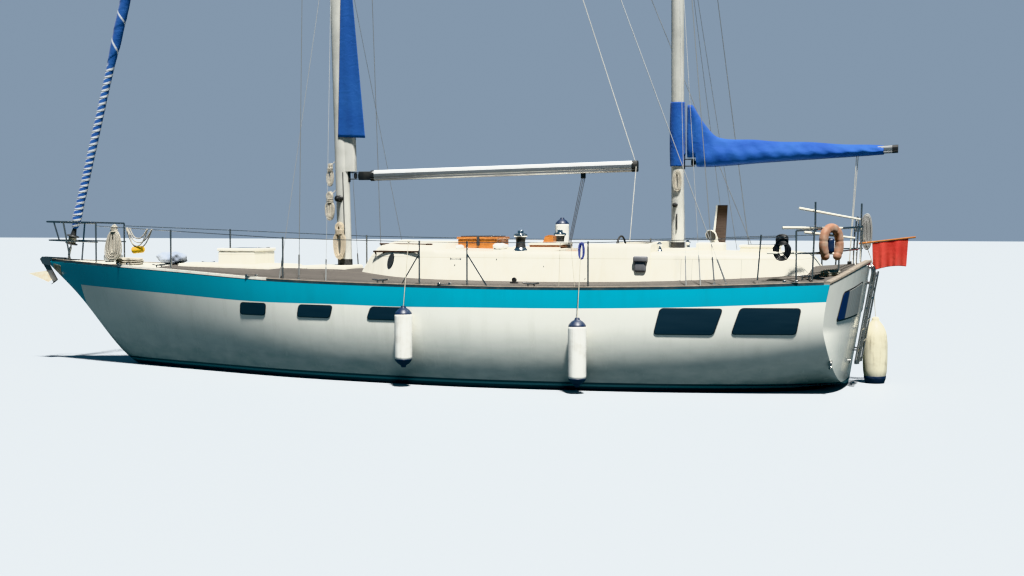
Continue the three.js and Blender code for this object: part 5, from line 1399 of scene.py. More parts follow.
def cloth_piece(name, grid, finish, body, thickness=0.002, uvs=None, **kit):
    """A single layer of cloth on a grid, given its thickness by a modifier."""
    rows, cols = grid.shape[:2]
    if uvs is None:
        run = np.concatenate([[0], np.cumsum(np.linalg.norm(np.diff(grid.mean(axis=1), axis=0), axis=1))])
        girth = np.linalg.norm(np.diff(grid, axis=1), axis=2).mean(axis=0)
        across = np.concatenate([[0], np.cumsum(girth)])
        uvs = on_grid(run[:, None], across[None])
    piece = make(name, [skin(grid)], finish, body, uvs=uvs, crease_deg=180, **kit)
    body_of = piece.modifiers.new("thickness", "SOLIDIFY")
    body_of.thickness = thickness
    body_of.offset = -1
    return piece


cover_x = np.concatenate([np.linspace(3.309, 3.75, 40)[:-1], np.linspace(3.75, 5.93, 150)])
bottom, top, low_half, ridge_half = (fair(cover_rows, cover_x, k) for k in (1, 2, 3, 4))
neck_room = 3.070  # the cloth stops here above the gooseneck, ahead of the boom's own end
bottom = np.where(cover_x < 3.437, np.maximum(bottom, neck_room), bottom)
belly = bottom + np.minimum(0.15, (top - bottom) * 0.4)
section_y = np.stack([low_half * 0.50, low_half * 0.92, low_half, (low_half + ridge_half) / 2,
                      ridge_half * 1.02, ridge_half * 0.0], axis=1)
section_z = np.stack([bottom, bottom + 0.034, belly, (belly + top) / 2, top - 0.02, top + 0.002], axis=1)
knots = np.array([0.0, 0.08, 0.30, 0.62, 0.93, 1.0])
fine = np.linspace(0, 1, 30)
half_y = np.stack([fair(np.column_stack([knots, row]), fine) for row in section_y])
half_z = np.stack([fair(np.column_stack([knots, row]), fine) for row in section_z])
cover_y, cover_z = both_sides(half_y, half_z)
around = np.concatenate([fine, 2 - fine[-2::-1]])[None]
tie_spacing = 0.46
from_tie = np.abs(((cover_x - 3.60) / tie_spacing) % 1 - 0.5)[:, None] * 2
low_share = np.exp(-((1 - np.abs(around - 1)) / 0.34) ** 2)
pull = 0.016 * (1 - from_tie) * low_share
high_swag = 0.007 * np.sin(cover_x[:, None] * 11 + 5.0 * np.abs(around - 1)) * (1 - low_share)
swag = high_swag + 0.004 * np.sin(cover_x[:, None] * 29 - 8 * around)
outward = (1 - pull / np.maximum(np.abs(cover_y), 0.03)) + swag / np.maximum(low_half[:, None], 0.03)
cover_y = cover_y * np.clip(outward, 0.7, 1.15)
cover_z = cover_z + 0.006 * np.sin(cover_x[:, None] * 7.3 + 3 * around) * np.exp(-((around - 1) / 0.3) ** 2)
cover_grid = on_grid(cover_x[:, None], cover_y, cover_z)
sail_cover = cloth_piece("sail_cover", cover_grid, cover_blue, "mizzen_boom",
                         replaces=("mizzen_sail_cover",), slot="canvas_blue")
collar_rows = np.array([[2.952, 0.020], [3.120, 0.024], [3.600, 0.022], [3.828, 0.014]])
collar_z = np.linspace(2.952, 3.828, 60)
collar_grow = fair(collar_rows, collar_z)
collar_angle = np.linspace(0.50, 2 * math.pi - 0.50, 60)
gather = 1 + 0.035 * np.sin(9 * collar_angle[None] + 6 * collar_z[:, None]) * np.sin(collar_z[:, None] * 17)
mouth = np.clip((3.13 - collar_z) / 0.02, 0, 1)[:, None]
angle = math.pi + (collar_angle[None] - math.pi) * (1 + 0.175 * (1 - mouth))
collar_grid = on_grid(mizzen_at(collar_z)[:, None] + (0.088 + (collar_grow[:, None] - 0.002) * gather)
                      * np.cos(angle), (0.070 + (collar_grow[:, None] - 0.002) * gather) * np.sin(angle),
                      collar_z[:, None])
collar = cloth_piece("cover_collar", collar_grid, cover_blue, "yacht", replaces=("mizzen_cover_collar",),
                     slot="canvas_blue")

clew_sides = np.array([[3.42, -1.880, -1.446], [5.40, -1.829, -1.632], [6.10, -1.799, -1.718]])
share = np.linspace(0, 1, 60)[:, None]
clew_z = 3.434 - 0.020 * np.linspace(0, 1, 24)[None] * (1 - share) + (6.098 - 3.434) * share
fore = np.interp(clew_z, clew_sides[:, 0], clew_sides[:, 1])
aft = np.interp(clew_z, clew_sides[:, 0], clew_sides[:, 2])
clew_x = fore + (aft - fore) * np.linspace(0, 1, 24)[None]
clew_y = -0.0863 + 0.006 * np.sin(clew_x * 21 + clew_z * 2.2) * np.sin(math.pi * np.linspace(0, 1, 24)[None])
clew_grid = on_grid(clew_x, clew_y, clew_z)
sail_blue = cloth_finish("sail blue", (0.004, 0.050, 0.22), (0.016, 0.090, 0.30), fading=0.5, creases=0.008)
clew = cloth_piece("mainsail_corner", clew_grid, sail_blue, "yacht", thickness=0.004,
                   replaces=("mainsail_clew",), slot="canvas_blue")

# The headsail, rolled round its stay: royal blue along its edge, with its white cloth showing between the
# turns, closest low down; the furling drum below it is black, with the furling line wound on it.
tack = np.array([-6.566, 0.0, 1.618])
masthead_fitting = np.array([main_at(main_top) - 0.108 - 0.050, 0.0, 16.97])
up_stay = (masthead_fitting - tack) / np.linalg.norm(masthead_fitting - tack)
roll_start = 0.4903
roll_rows = np.array([[0.0, 0.050], [0.14, 0.072], [0.40, 0.068], [1.5, 0.064], [2.55, 0.062], [2.95, 0.078],
                      [3.6, 0.083], [5.2, 0.082], [9.0, 0.072], [12.8, 0.053], [14.3, 0.034],
                      [14.49, 0.020]])
roll_s = np.concatenate([np.linspace(0.002, 2.8, 440)[:-1], np.linspace(2.8, 14.49, 560)])
roll_angle = np.linspace(0, 2 * math.pi, 33)[:-1]
roll_radius = fair(roll_rows, roll_s)
turns = np.interp(roll_s, [0.0, 1.2, 2.6, 3.1, 14.49], [0.0, 13.0, 26.0, 27.0, 54.0])
phase = roll_angle[None] / (2 * math.pi) + turns[:, None]
ledge = 1 - 0.085 * (phase % 1) + 0.012 * np.sin(roll_s[:, None] * 23 + 3 * roll_angle[None])
side_dir = np.cross(up_stay, (0.0, 1.0, 0.0))
spoke = np.cos(roll_angle)[:, None] * side_dir + np.sin(roll_angle)[:, None] * np.array([0.0, 1.0, 0.0])
roll_grid = (tack + (roll_start + roll_s)[:, None, None] * up_stay
             + (roll_radius[:, None] * ledge)[..., None] * spoke[None])
roll_uv = on_grid(np.concatenate([[roll_s[0]], roll_s, [roll_s[-1]]])[:, None],
                  roll_angle[None] / (2 * math.pi))
turn_mark = np.concatenate([turns[:1], turns, turns[-1:]])[:, None] + 0 * roll_uv[..., 0]
sail_roll, roll_shader, place = finish_of("rolled sail", Roughness=0.8, Sheen_Weight=0.15)
where = place("TexCoord")
turn_at = place("Attribute", attribute_name="turn")
axis_point = tuple(float(v) for v in tack)
from_tack = place("VectorMath", {0: where.outputs["Object"], 1: axis_point}, operation="SUBTRACT")
ahead = place("VectorMath", {0: from_tack, 1: tuple(float(v) for v in side_dir)}, operation="DOT_PRODUCT")
abeam = place("SeparateXYZ", {0: from_tack})
swing = calc(place, "ARCTAN2", abeam.outputs["Y"], ahead.outputs["Value"])
stripes = []
for starts, white_from in ((2, 0.55), (-1, 0.90)):
    swing_share = calc(place, "MULTIPLY_ADD", swing, starts / (2 * math.pi), turn_at.outputs["Fac"])
    spiral = calc(place, "FRACT", swing_share)
    stripes.append(spread(place, spiral, white_from, white_from + 0.04))
higher = spread(place, turn_at.outputs["Fac"], 25.9, 26.1)
white_edge = place("Mix", {0: higher, 2: stripes[0].outputs[0], 3: stripes[1].outputs[0]})
blue_roll = place("Group", {"Colour": (0.008, 0.060, 0.24), "Faded": (0.03, 0.115, 0.32), "Fading": 0.6},
                  node_tree=cloth)
white_soiled = dye(place, blue_roll.outputs["Creases"], (0.62, 0.64, 0.66), (0.34, 0.38, 0.44))
roll_colour = dye(place, white_edge, blue_roll.outputs["Colour"], white_soiled)
feed(roll_shader, Base_Color=roll_colour)
roll_bump = place("Bump", {"Height": blue_roll.outputs["Creases"], "Strength": 0.5, "Distance": 0.01})
feed(roll_shader, Normal=roll_bump)
rolled_sail = make("rolled_headsail", [capped(roll_grid)], sail_roll, "headsail",
                   replaces=("furled_headsail",), slot="sail_blue", marks={"turn": turn_mark}, uvs=roll_uv,
                   crease_deg=50)
drum_rows = soft_profile([(0, 0), (0.096, 0), (0.096, 0.012), (0.052, 0.016), (0.052, 0.118), (0.096, 0.122),
                          (0.096, 0.134), (0.046, 0.140), (0.030, 0.250), (0.030, 0.260), (0, 0.260)])
drum_foot = tack + 0.230 * up_stay
make("furler_drum", [lathe(drum_rows, drum_foot, up_stay, sides=40)], black_plastic, "headsail",
     replaces=("furling_drum",), slot="furler_black")
wound_angle = np.linspace(0, 2 * math.pi * 9, 9 * 24)
wound = (drum_foot + (0.024 + 0.084 * np.linspace(0, 1, len(wound_angle)))[:, None] * up_stay + 0.057
         * (np.cos(wound_angle)[:, None] * side_dir + np.sin(wound_angle)[:, None] * np.array([0, 1.0, 0])))
pale_rope = rope_finish("pale rope", (0.62, 0.58, 0.48), 300)
make("furling_line_turns", [tube(wound, 0.005, 8)], pale_rope, "headsail")

# The standing rigging: stays of dull twisted wire, each with its turnbuckle and chainplate, and the
# mainmast's pairs of lower shrouds, which run from the deck to the spreaders.
wire = weathered("rigging wire", (0.30, 0.31, 0.31), dirt=(0.18, 0.16, 0.14), patches=0.3, scale=3.0,
                 rough=0.5, metallic=0.7)
dress(wire, "forestay_foot", "forestay_head", "main_shroud_port", "main_shroud_starboard",
      "mizzen_shroud_port", "mizzen_shroud_starboard", "backstay_port", "backstay_starboard")


def straight(start, end, radius, sides=8):
    return tube(np.linspace(start, end, 2), radius, sides)


def deck_point(x, side, inset):
    y = side * (half_breadth(x) - inset)
    return np.array([x, y, deck_z(x, y) + deck_rise])


lowers = []
for s in (-1, 1):
    for foot_x in (-2.20, -1.42):
        foot = deck_point(foot_x, s, 0.15)
        lowers.append(straight(foot, (main_at(6.80), s * 0.07, 6.80), 0.0035))
        lowers.append(straight(foot, foot + (np.array([main_at(6.80), s * 0.07, 6.80]) - foot) * 0.055,
                               0.010, 12))
make("lower_shrouds", lowers, wire)

# Rails of polished tube and their guard wires; the stem fitting with its roller, and on it a galvanised
# plough on a dark steel shank; the windlass, a grey casting bolted to the foredeck.
dress(stainless, "pulpit", "stern_rail_port", "stern_rail_starboard", "lifeline_port", "lifeline_starboard",
      "stem_fitting", "ladder_fixed", "ladder_folding")
galvanised = weathered("galvanised iron", (0.50, 0.47, 0.38), dirt=(0.30, 0.20, 0.11), patches=0.7,
                       streaks=0.3, scale=6.0, rough=0.6, metallic=0.35)
anchor_steel = weathered("anchor shank", (0.20, 0.21, 0.21), dirt=(0.16, 0.11, 0.07), patches=0.6, scale=8.0,
                         rough=0.5, metallic=0.6)
plough_share = np.linspace(0, 1, 12)[:, None]
plough_wing = 0.004 + 0.110 * plough_share[:, 0] ** 1.3
ridge = (-7.285, 0, 1.372) + plough_share * np.array([0.335, 0, 0.045])
wing_line = (-7.285, 0, 1.364) + plough_share * np.array([0.425, 0, -0.122])
plough = np.stack([ridge, wing_line + np.column_stack([0 * plough_wing, plough_wing, 0 * plough_wing]),
                   wing_line * (1, 0, 1) + (0, 0, 0.004) + plough_share * np.array([0, 0, 0.03]),
                   wing_line - np.column_stack([0 * plough_wing, plough_wing, 0 * plough_wing])], axis=1)
make("anchor_plough", [capped(plough)], galvanised, replaces=("anchor",), crease_deg=30)
shank_side = np.array([0.035, 0.0, 0.024])
shank_rows = [np.array([[p[0], 0, p[1]] + shank_side * a + np.array([0, 0.013, 0]) * b
                        for a, b in ((-1, -1), (1, -1), (1, 1), (-1, 1))])
              for p in ((-6.985, 1.545), (-6.93, 1.46), (-6.80, 1.25), (-6.85, 1.225))]
make("anchor_shank", [capped(np.stack(shank_rows))], anchor_steel, crease_deg=30)
windlass_grey = weathered("windlass casting", (0.46, 0.47, 0.47), dirt=(0.22, 0.20, 0.17), patches=0.5,
                          scale=6.0, rough=0.42, metallic=0.7)
windlass_x = -5.75
windlass_z = deck_z(windlass_x, 0.0) + deck_rise
drum_profile = soft_profile([(0, 0), (0.060, 0), (0.062, 0.01), (0.050, 0.035), (0.046, 0.055),
                             (0.056, 0.080), (0.050, 0.088), (0, 0.088)])
gypsy_profile = soft_profile([(0, 0), (0.078, 0), (0.080, 0.008), (0.058, 0.026), (0.058, 0.040),
                              (0.080, 0.058), (0.078, 0.066), (0, 0.066)])
windlass_shells = [rounded_box((-5.88, -0.09, windlass_z - 0.012), (-5.62, 0.09, windlass_z + 0.118), 0.03),
                   lathe(drum_profile, (windlass_x, 0.088, windlass_z + 0.08), (0, 1, 0)),
                   lathe(drum_profile, (windlass_x, -0.102, windlass_z + 0.08), (0, -1, 0)),
                   lathe(gypsy_profile, (windlass_x, -0.060, windlass_z + 0.08), (0, -1, 0), sides=40),
                   lathe([(0, 0), (0.014, 0), (0.014, 0.10), (0, 0.10)], (-5.70, 0.03, windlass_z + 0.05),
                         (0.2, 0, 1), sides=16), ]
make("windlass_casting", windlass_shells, windlass_grey, replaces=("windlass",), slot="windlass_grey")

# Winches: black drums on chromed feet, with a chromed ring and the handle's socket on top; small ones,
# all chromed, stand on the aft cabin.
chrome = weathered("chrome", (0.74, 0.75, 0.76), dirt=(0.35, 0.33, 0.30), patches=0.2, scale=8.0, rough=0.12,
                   wear_rough=0.3, bump=0.0001, metallic=1.0)


def winch(x, y, foot, size):
    """The chromed parts and the black drum of a winch: turned profiles of one pattern, to a size."""
    bright = [soft_profile([(0, 0), (0.95, 0), (0.95, 0.28), (0.72, 0.60), (0.64, 0.66), (0, 0.66)]),
              soft_profile([(0, 2.04), (0.86, 2.04), (0.92, 2.14), (0.92, 2.36), (0.62, 2.48), (0.40, 2.52),
                            (0.40, 2.88), (0.22, 2.90), (0, 2.90)])]
    dark = soft_profile([(0, 0.60), (0.74, 0.60), (0.66, 0.90), (0.62, 1.35), (0.68, 1.80), (0.80, 2.06),
                         (0, 2.06)])
    return ([lathe(rows * size, (x, y, foot), sides=40) for rows in bright],
            [lathe(dark * size, (x, y, foot), sides=40)])


for side, label in ((-1, "port"), (1, "starboard")):
    bright, dark = winch(1.215, side * 0.97, 1.7825, 0.1)
    make(f"sheet_winch_{label}", bright, chrome, replaces=(f"winch_{label}",), slot="chrome")
    make(f"sheet_winch_drum_{label}", dark, black_plastic)
small = [winch(3.13, s * 0.95, roof_at(3.13, 0.95) - 0.002, 0.046) for s in (-1, 1)]
make("halyard_winches", [shell for pair in small for shell in pair[0] + pair[1]], chrome, slot="chrome")

# The cowl ventilator: a bell of moulded plastic turned to port, dark inside, on a socket let into a
# white box with round corners.
vent_white = weathered("vent white", (0.80, 0.78, 0.71), dirt=(0.40, 0.36, 0.28), patches=0.3, streaks=0.3,
                       scale=5.0, rough=0.32)
share = np.linspace(0, 1, 26)
bend = share * math.radians(112)
bend_r = 0.072
ahead_share, port_share = math.cos(math.radians(70)), math.sin(math.radians(70))
reach = bend_r * (1 - np.cos(bend))
cowl_line = np.stack([3.690 - ahead_share * reach, -port_share * reach, 1.935 + bend_r * np.sin(bend)],
                     axis=1)
heading = np.stack([-ahead_share * np.sin(bend), -port_share * np.sin(bend), np.cos(bend)], axis=1)
across_bell = np.array([-port_share, ahead_share, 0])
flare = 0.046 + 0.036 * np.clip((share - 0.35) / 0.65, 0, 1) ** 1.5
angle = round_angles(36)
out_dir = np.cross(heading, across_bell)
round_dir = np.cos(angle)[None, :, None] * out_dir[:, None] + np.sin(angle)[None, :, None] * across_bell
outer = cowl_line[:, None] + flare[:, None, None] * round_dir
inner = cowl_line[:, None] + (flare - 0.006)[:, None, None] * round_dir
lip = cowl_line[-1:, None] + heading[-1:, None] * 0.005 + (flare[-1] - 0.002) * round_dir[-1:]
cowl = np.concatenate([outer[:1].mean(axis=1, keepdims=True) + 0 * outer[:1], outer, lip, inner[::-1][:16]])
cowl_throat = inner[::-1][15:16]
vent_shells = [rounded_box((3.46, -0.15, 1.70), (3.83, 0.15, 1.905), 0.025),
               lathe(soft_profile([(0, 0), (0.058, 0), (0.058, 0.012), (0.047, 0.020), (0.047, 0.045),
                                   (0, 0.045)]), (3.690, 0, 1.901)),
               skin(np.concatenate([cowl, cowl_throat.mean(axis=1, keepdims=True) + 0 * cowl_throat]),
                    wrap=True)]
make("cowl_ventilator", vent_shells, vent_white, replaces=("cowl_vent",), slot="vent_white", crease_deg=45)
deep_line, deep_flare, deep_round = (values[-9:][::-1] for values in (cowl_line, flare, round_dir))
throat_rings = deep_line[:, None] + (deep_flare - 0.0065)[:, None, None] * deep_round
make("cowl_throat", [capped(throat_rings)], black_plastic)

# The steering pedestal, a moulded column with its compass under a domed glass, and the wheel: six
# spokes and a hub of stainless steel, and a rim bound with stitched leather.
pedestal_foot = (2.23, 0, 0.8503)
pedestal_rows = soft_profile([(0, 0), (0.110, 0), (0.110, 0.020), (0.062, 0.060), (0.052, 0.700),
                              (0.078, 0.760), (0.096, 0.860), (0.080, 0.930), (0.070, 0.955), (0, 0.958)])
make("pedestal_column", [lathe(pedestal_rows, pedestal_foot, sides=40)], vent_white,
     replaces=("steering_pedestal",), slot="gelcoat")
make("pedestal_shaft", [straight((2.23, 0, 1.64), (2.365, 0, 1.64), 0.014, 16)], stainless)
dome = [(0.058 * math.cos(a), 0.958 + 0.045 * math.sin(a) - 0.004) for a in np.linspace(0, math.pi / 2, 8)]
make("compass_dome", [lathe([(0, 0.95)] + dome, pedestal_foot, sides=32)], smoked)
wheel_x, hub_z = 2.38, 1.64
turn = np.linspace(0, 2 * math.pi, 97)
around_rim = np.linspace(0, 2 * math.pi, 13)
rim_r = 0.350 + 0.013 * np.cos(around_rim)[None]
rim_grid = on_grid(wheel_x + 0.013 * np.sin(around_rim)[None], rim_r * np.cos(turn)[:, None],
                   hub_z + rim_r * np.sin(turn)[:, None])
spokes = [tube(np.array([[wheel_x - 0.004, 0.030 * math.cos(a), hub_z + 0.030 * math.sin(a)],
                         [wheel_x + 0.004, 0.19 * math.cos(a), hub_z + 0.19 * math.sin(a)],
                         [wheel_x, 0.348 * math.cos(a), hub_z + 0.348 * math.sin(a)]]), 0.007, 12)
          for a in np.arange(6) * math.pi / 3]
bore, hub_r = 0.0148, 0.044
hub_profile = np.array([(bore, -0.0294), (hub_r, -0.0294), (hub_r, 0.012), (0.030, 0.026), (bore, 0.026),
                        (bore, -0.0294)])
hub_turn = np.linspace(0, 2 * math.pi, 41)
hub_grid = on_grid(wheel_x + hub_profile[None, :, 1], hub_profile[None, :, 0] * np.cos(hub_turn)[:, None],
                   hub_z + hub_profile[None, :, 0] * np.sin(hub_turn)[:, None])
make("wheel_spokes_and_hub", spokes + [skin(hub_grid)], stainless, "wheel", replaces=("steering_wheel",),
     slot="stainless")
stitched, wear, stitched_shader, place = mottled("stitched leather", (0.012, 0.012, 0.013),
                                                 (0.05, 0.045, 0.04), 40.0, 4.0, Roughness=0.6)
leather_bump = place("Bump", {"Height": wear, "Strength": 0.4, "Distance": 0.001})
feed(stitched_shader, Normal=leather_bump)
make("wheel_rim", [skin(rim_grid)], stitched, "wheel", slot="stainless")

# Fenders: inflated vinyl sausages, white with navy ends, each hung by a lanyard that is hitched round
# the guard wire; a cream pear hangs from the stern rail, and a spare one stands on the side deck.
fender_white = weathered("fender vinyl", (0.76, 0.755, 0.72), dirt=(0.33, 0.31, 0.26), patches=0.45,
                         streaks=0.35, scale=4.0, rough=0.42, wear_rough=0.25)
fender_cream = weathered("cream vinyl", (0.66, 0.62, 0.48), dirt=(0.25, 0.22, 0.15), patches=0.5,
                         streaks=0.5, scale=4.0, rough=0.45, wear_rough=0.25)
navy_vinyl = weathered("navy vinyl", (0.012, 0.022, 0.055), dirt=(0.10, 0.11, 0.13), patches=0.4, scale=6.0,
                       rough=0.4)


def fender(x, y, top_z, bottom_z, radius, cone):
    """The body and the two end caps of a fender, as turned profiles from foot to head: a straight body, and
    at each end a dome that narrows to the eye of its lanyard."""
    tall = top_z - bottom_z
    body_rows = soft_profile([(0, cone * 0.9), (radius * 0.86, cone * 0.98), (radius, cone * 1.35),
                              (radius, tall - cone * 1.35), (radius * 0.86, tall - cone * 0.98),
                              (0, tall - cone * 0.9)], steps=6, share=0.4)
    cap_rows = soft_profile([(0, 0), (radius * 0.26, 0), (radius * 0.30, cone * 0.28),
                             (radius * 0.62, cone * 0.52), (radius * 0.90, cone * 0.92),
                             (radius * 0.975, cone * 1.15), (radius * 0.93, cone * 1.20), (0, cone * 1.20)],
                            steps=5, share=0.4)
    head_rows = np.column_stack([cap_rows[:, 0], tall - cap_rows[:, 1]])
    return ([lathe(body_rows, (x, y, bottom_z), sides=40)],
            [lathe(rows, (x, y, bottom_z), sides=32) for rows in (cap_rows, head_rows)])


stanchion_x = [-4.20, -2.10, 0.07, 0.76, 2.39]
wire_height = 0.582  # of the upper guard wire, above the deck


def wire_point(x, side):
    """A place on the upper guard wire, which runs straight from one stanchion's head to the next."""
    supports = np.array([-5.80] + stanchion_x + [4.98])
    heads = np.stack([deck_point(at_x, side, 0.080) for at_x in supports]) + (0, 0, wire_height)
    return np.array([np.interp(x, supports, heads[:, axis]) for axis in range(3)])


lanyards = []
for label, x, top_z, bottom_z, node in (("forward", -0.095, 1.082, 0.266, "fender_forward"),
                                        ("aft", 2.300, 0.973, 0.088, "fender_aft")):
    heights = bottom_z + (top_z - bottom_z) * np.array([0.1, 0.3, 0.6, 0.9, 1.0])
    y = -(float(side_y(x, heights).max()) + 0.118 - 0.014)
    body_shells, cap_shells = fender(x, y, top_z, bottom_z, 0.118, 0.094)
    make(f"fender_{label}_body", body_shells, fender_white, replaces=(node,), slot="fender_white")
    make(f"fender_{label}_ends", cap_shells, navy_vinyl)
    knot = wire_point(x, -1)
    lanyards.append(straight((x, y, top_z - 0.02), knot, 0.005, 10))
    hitch = np.linspace(0, 2 * math.pi * 3, 60)
    lanyards.append(tube(np.stack([x - 0.018 + 0.006 * hitch / math.pi, knot[1] + 0.010 * np.cos(hitch),
                                   knot[2] + 0.010 * np.sin(hitch)], axis=1), 0.0045, 8))
tall, radius = 0.995, 0.165
pear = soft_profile([(0, 0.030), (0.060, 0.036), (0.120, 0.110), (0.157, 0.230), (radius, 0.380),
                     (radius, 0.640), (0.150, 0.780), (0.105, 0.880), (0.052, 0.940), (0.044, 0.990),
                     (0, tall)], steps=6, share=0.45)
tip = soft_profile([(0, 0), (0.040, 0.001), (0.046, 0.030), (0.128, 0.105), (0.1475, 0.165), (0.1495, 0.195),
                    (0.140, 0.199), (0, 0.199)], steps=4)
pear_at = (5.81, 0.48, -0.095)
make("fender_stern_body", [lathe(pear, pear_at, sides=44)], fender_cream, replaces=("fender_stern",),
     slot="fender_cream")
make("fender_stern_tip", [lathe(tip, pear_at, sides=36)], navy_vinyl)
lanyards.append(tube(led_through([[5.81, 0.48, 0.890], [5.790, 0.486, 1.20], [5.754, 0.500, 1.640],
                                  [5.69, 0.508, 1.83], [5.602, 0.520, 2.108]], 24), 0.005, 10))
fender_deck_z = deck_z(1.08, 1.56) + deck_rise
body_shells, cap_shells = fender(1.08, 1.56, fender_deck_z + 0.889, fender_deck_z + 0.001, 0.105, 0.084)
make("fender_deck_body", body_shells, fender_white, replaces=("fender_deck",), slot="fender_white")
make("fender_deck_ends", cap_shells, navy_vinyl)
make("fender_lanyards", lanyards, pale_rope)

# Lower shrouds of the mizzen, of the same wire, led aft; black winches on the masts' sides, a track up
# the mainmast, and two small cleats on the mizzen.
mizzen_lowers = []
for s in (-1, 1):
    for foot_x, root_z in ((3.80, 6.90), (3.62, 6.86)):
        foot = deck_point(foot_x, s, 0.16)
        root = np.array([mizzen_at(root_z), s * 0.06, root_z])
        mizzen_lowers.append(straight(foot, root, 0.0035))
        mizzen_lowers.append(straight(foot, foot + (root - foot) * 0.07, 0.009, 12))
make("mizzen_lower_shrouds", mizzen_lowers, wire)
mast_winches = []
for s in (-1, 1):
    for mast_x, mast_half, z, size in ((main_at(2.53), 0.076, 2.53, 0.050),
                                       (mizzen_at(2.42), 0.070, 2.42, 0.034)):
        rows = soft_profile([(0, 0), (1.0, 0), (1.0, 0.3), (0.72, 0.5), (0.64, 1.2), (0.80, 1.75),
                             (0.92, 1.85), (0.92, 2.05), (0.35, 2.15), (0.35, 2.4), (0, 2.42)]) * size
        mast_winches.append(lathe(rows, (mast_x - 0.02, s * (mast_half - 0.006), z), (0, s, 0), sides=36))
make("mast_winches", mast_winches, black_plastic)
tracks = [strip([(0.030, -0.0768), (0.042, -0.0745), (0.042, -0.068), (0.030, -0.068)], main_at,
                np.linspace(1.95, 2.92, 6))]
for s in (-1, 1):
    tracks.append(rounded_box((3.172, s * 0.085 - 0.012, 2.08), (3.188, s * 0.085 + 0.012, 2.30), 0.006))
    tracks.append(rounded_box((3.174, s * 0.070 - 0.018, 2.15), (3.186, s * 0.070 + 0.018, 2.23), 0.004))
make("mast_tracks_and_cleats", tracks, black_plastic)

# Halyard tails: laid rope in two loose hanks ahead of the mainmast, and a coil on the mizzen mast's
# port side, each made fast on a cleat above it.
slack_rope = rope_finish("slack rope", (0.58, 0.54, 0.46), 700)


def hung(name, path, diameter, finish, fast=None):
    """A rope that follows a path. Fast is the place where it is made fast."""
    if fast is not None:
        path = np.concatenate([np.linspace(fast, path[0], 8)[:-1], path])
    piece = rope_curve(name, path, diameter, finish, "yacht")
    return piece


def loosened(path, diameter, reach=0.35):
    """A path whose turns wander a little to each side, each in its own way."""
    step = np.arange(len(path)) / 32
    wander = np.column_stack([np.sin(step * 4.4 + 1.0), 0.5 * np.sin(step * 3.1), np.sin(step * 5.3)])
    return path + diameter * reach * wander


hung("halyard_hank_low",
     loosened(hank_path((-2.125, -0.062, 2.20), (-1.960, 0.02, 2.64), 0.012, 5, 3, 1.3, 2.50), 0.012, 0.25),
     0.012, slack_rope, fast=(main_at(2.66) - 0.112, 0, 2.66))
hung("halyard_hank_high",
     loosened(hank_path((-2.105, -0.052, 2.70), (-1.975, 0.02, 3.06), 0.012, 3, 2, 1.5, 2.96), 0.012, 0.25),
     0.012, slack_rope, fast=(main_at(3.08) - 0.112, 0, 3.08))
hung("mizzen_coil", loosened(hank_path((3.120, -0.1010, 2.60), (3.250, -0.08, 2.90), 0.010, 4, 2, 1.25),
                             0.010, 0.15), 0.010, slack_rope, fast=(3.175, -0.074, 2.905))

# Ropes at the bow: a hank on the port guard wire, loops hung along it with a yellow float threaded on,
# and a heap flaked down on the deck.


def flaked(low, high, diameter, lanes, layers, pitch=1.5):
    """A heap of long flat turns on the deck, between two corners of the plan."""
    flat = hank_path((low[1], 0, low[0]), (high[1], 0.2, high[0]), diameter, lanes, layers, pitch)
    x, y, z = flat[:, 2], flat[:, 0], flat[:, 1]
    return np.column_stack([x, y, z + deck_z(x, y) + deck_rise])


bow_wire = wire_point(-5.36, -1)
bow_hank = hank_path((-5.53, bow_wire[1] - 0.09, 1.59), (-5.19, bow_wire[1], bow_wire[2] + 0.05), 0.015, 7,
                     3, 1.45, neck=bow_wire[2] - 0.03)
spread = 0.42 + 0.58 * np.clip((bow_wire[2] + 0.03 - bow_hank[:, 2]) / 0.44, 0, 1)
bow_hank[:, 0] = -5.36 + (bow_hank[:, 0] + 5.36) * spread + 0.05 * (bow_hank[:, 2] - bow_wire[2])
hung("bow_hank", loosened(bow_hank, 0.015, 0.3), 0.015, slack_rope, fast=bow_wire + (0, 0, 0.010))
hung("bow_heap", loosened(flaked((-5.47, -0.50), (-5.00, -0.22), 0.015, 5, 5, 1.35), 0.015, 0.2), 0.015,
     slack_rope)
festoon = [wire_point(-5.13, -1) + (0, -0.012, 0.004)]
for k, (low_z, end_x) in enumerate([(1.80, -4.58), (1.88, -5.08), (1.83, -4.64), (1.94, -5.00)]):
    last_x = float(festoon[-1][0])
    out = -0.014 - 0.022 * k
    for t in (0.25, 0.5, 0.75):
        x = last_x + (end_x - last_x) * t
        top = wire_point(x, -1)
        sag = (top[2] - low_z) * (1 - (2 * t - 1) ** 2) ** 0.8
        festoon.append(np.array([x, top[1] + out, top[2] - sag]))
    festoon.append(wire_point(end_x, -1) + (0, out, 0.004))
hung("bow_loops", led_through(festoon, 240), 0.018, slack_rope)
float_yellow = weathered("yellow float", (0.78, 0.46, 0.03), dirt=(0.36, 0.24, 0.06), patches=0.4, scale=8.0,
                         rough=0.5)
float_at = wire_point(-4.94, -1)
float_rows = soft_profile([(0, 0), (0.040, 0), (0.052, 0.015), (0.052, 0.170), (0.040, 0.185), (0, 0.185)])
make("yellow_float", [lathe(float_rows, (-4.965, float_at[1] - 0.035, 1.762), (1, 0, 0.10), sides=32)],
     float_yellow)

# Cleats and chocks of stainless steel along the rails, bolted through the deck and its edge, and a
# worn beige plate on each side of the stem.


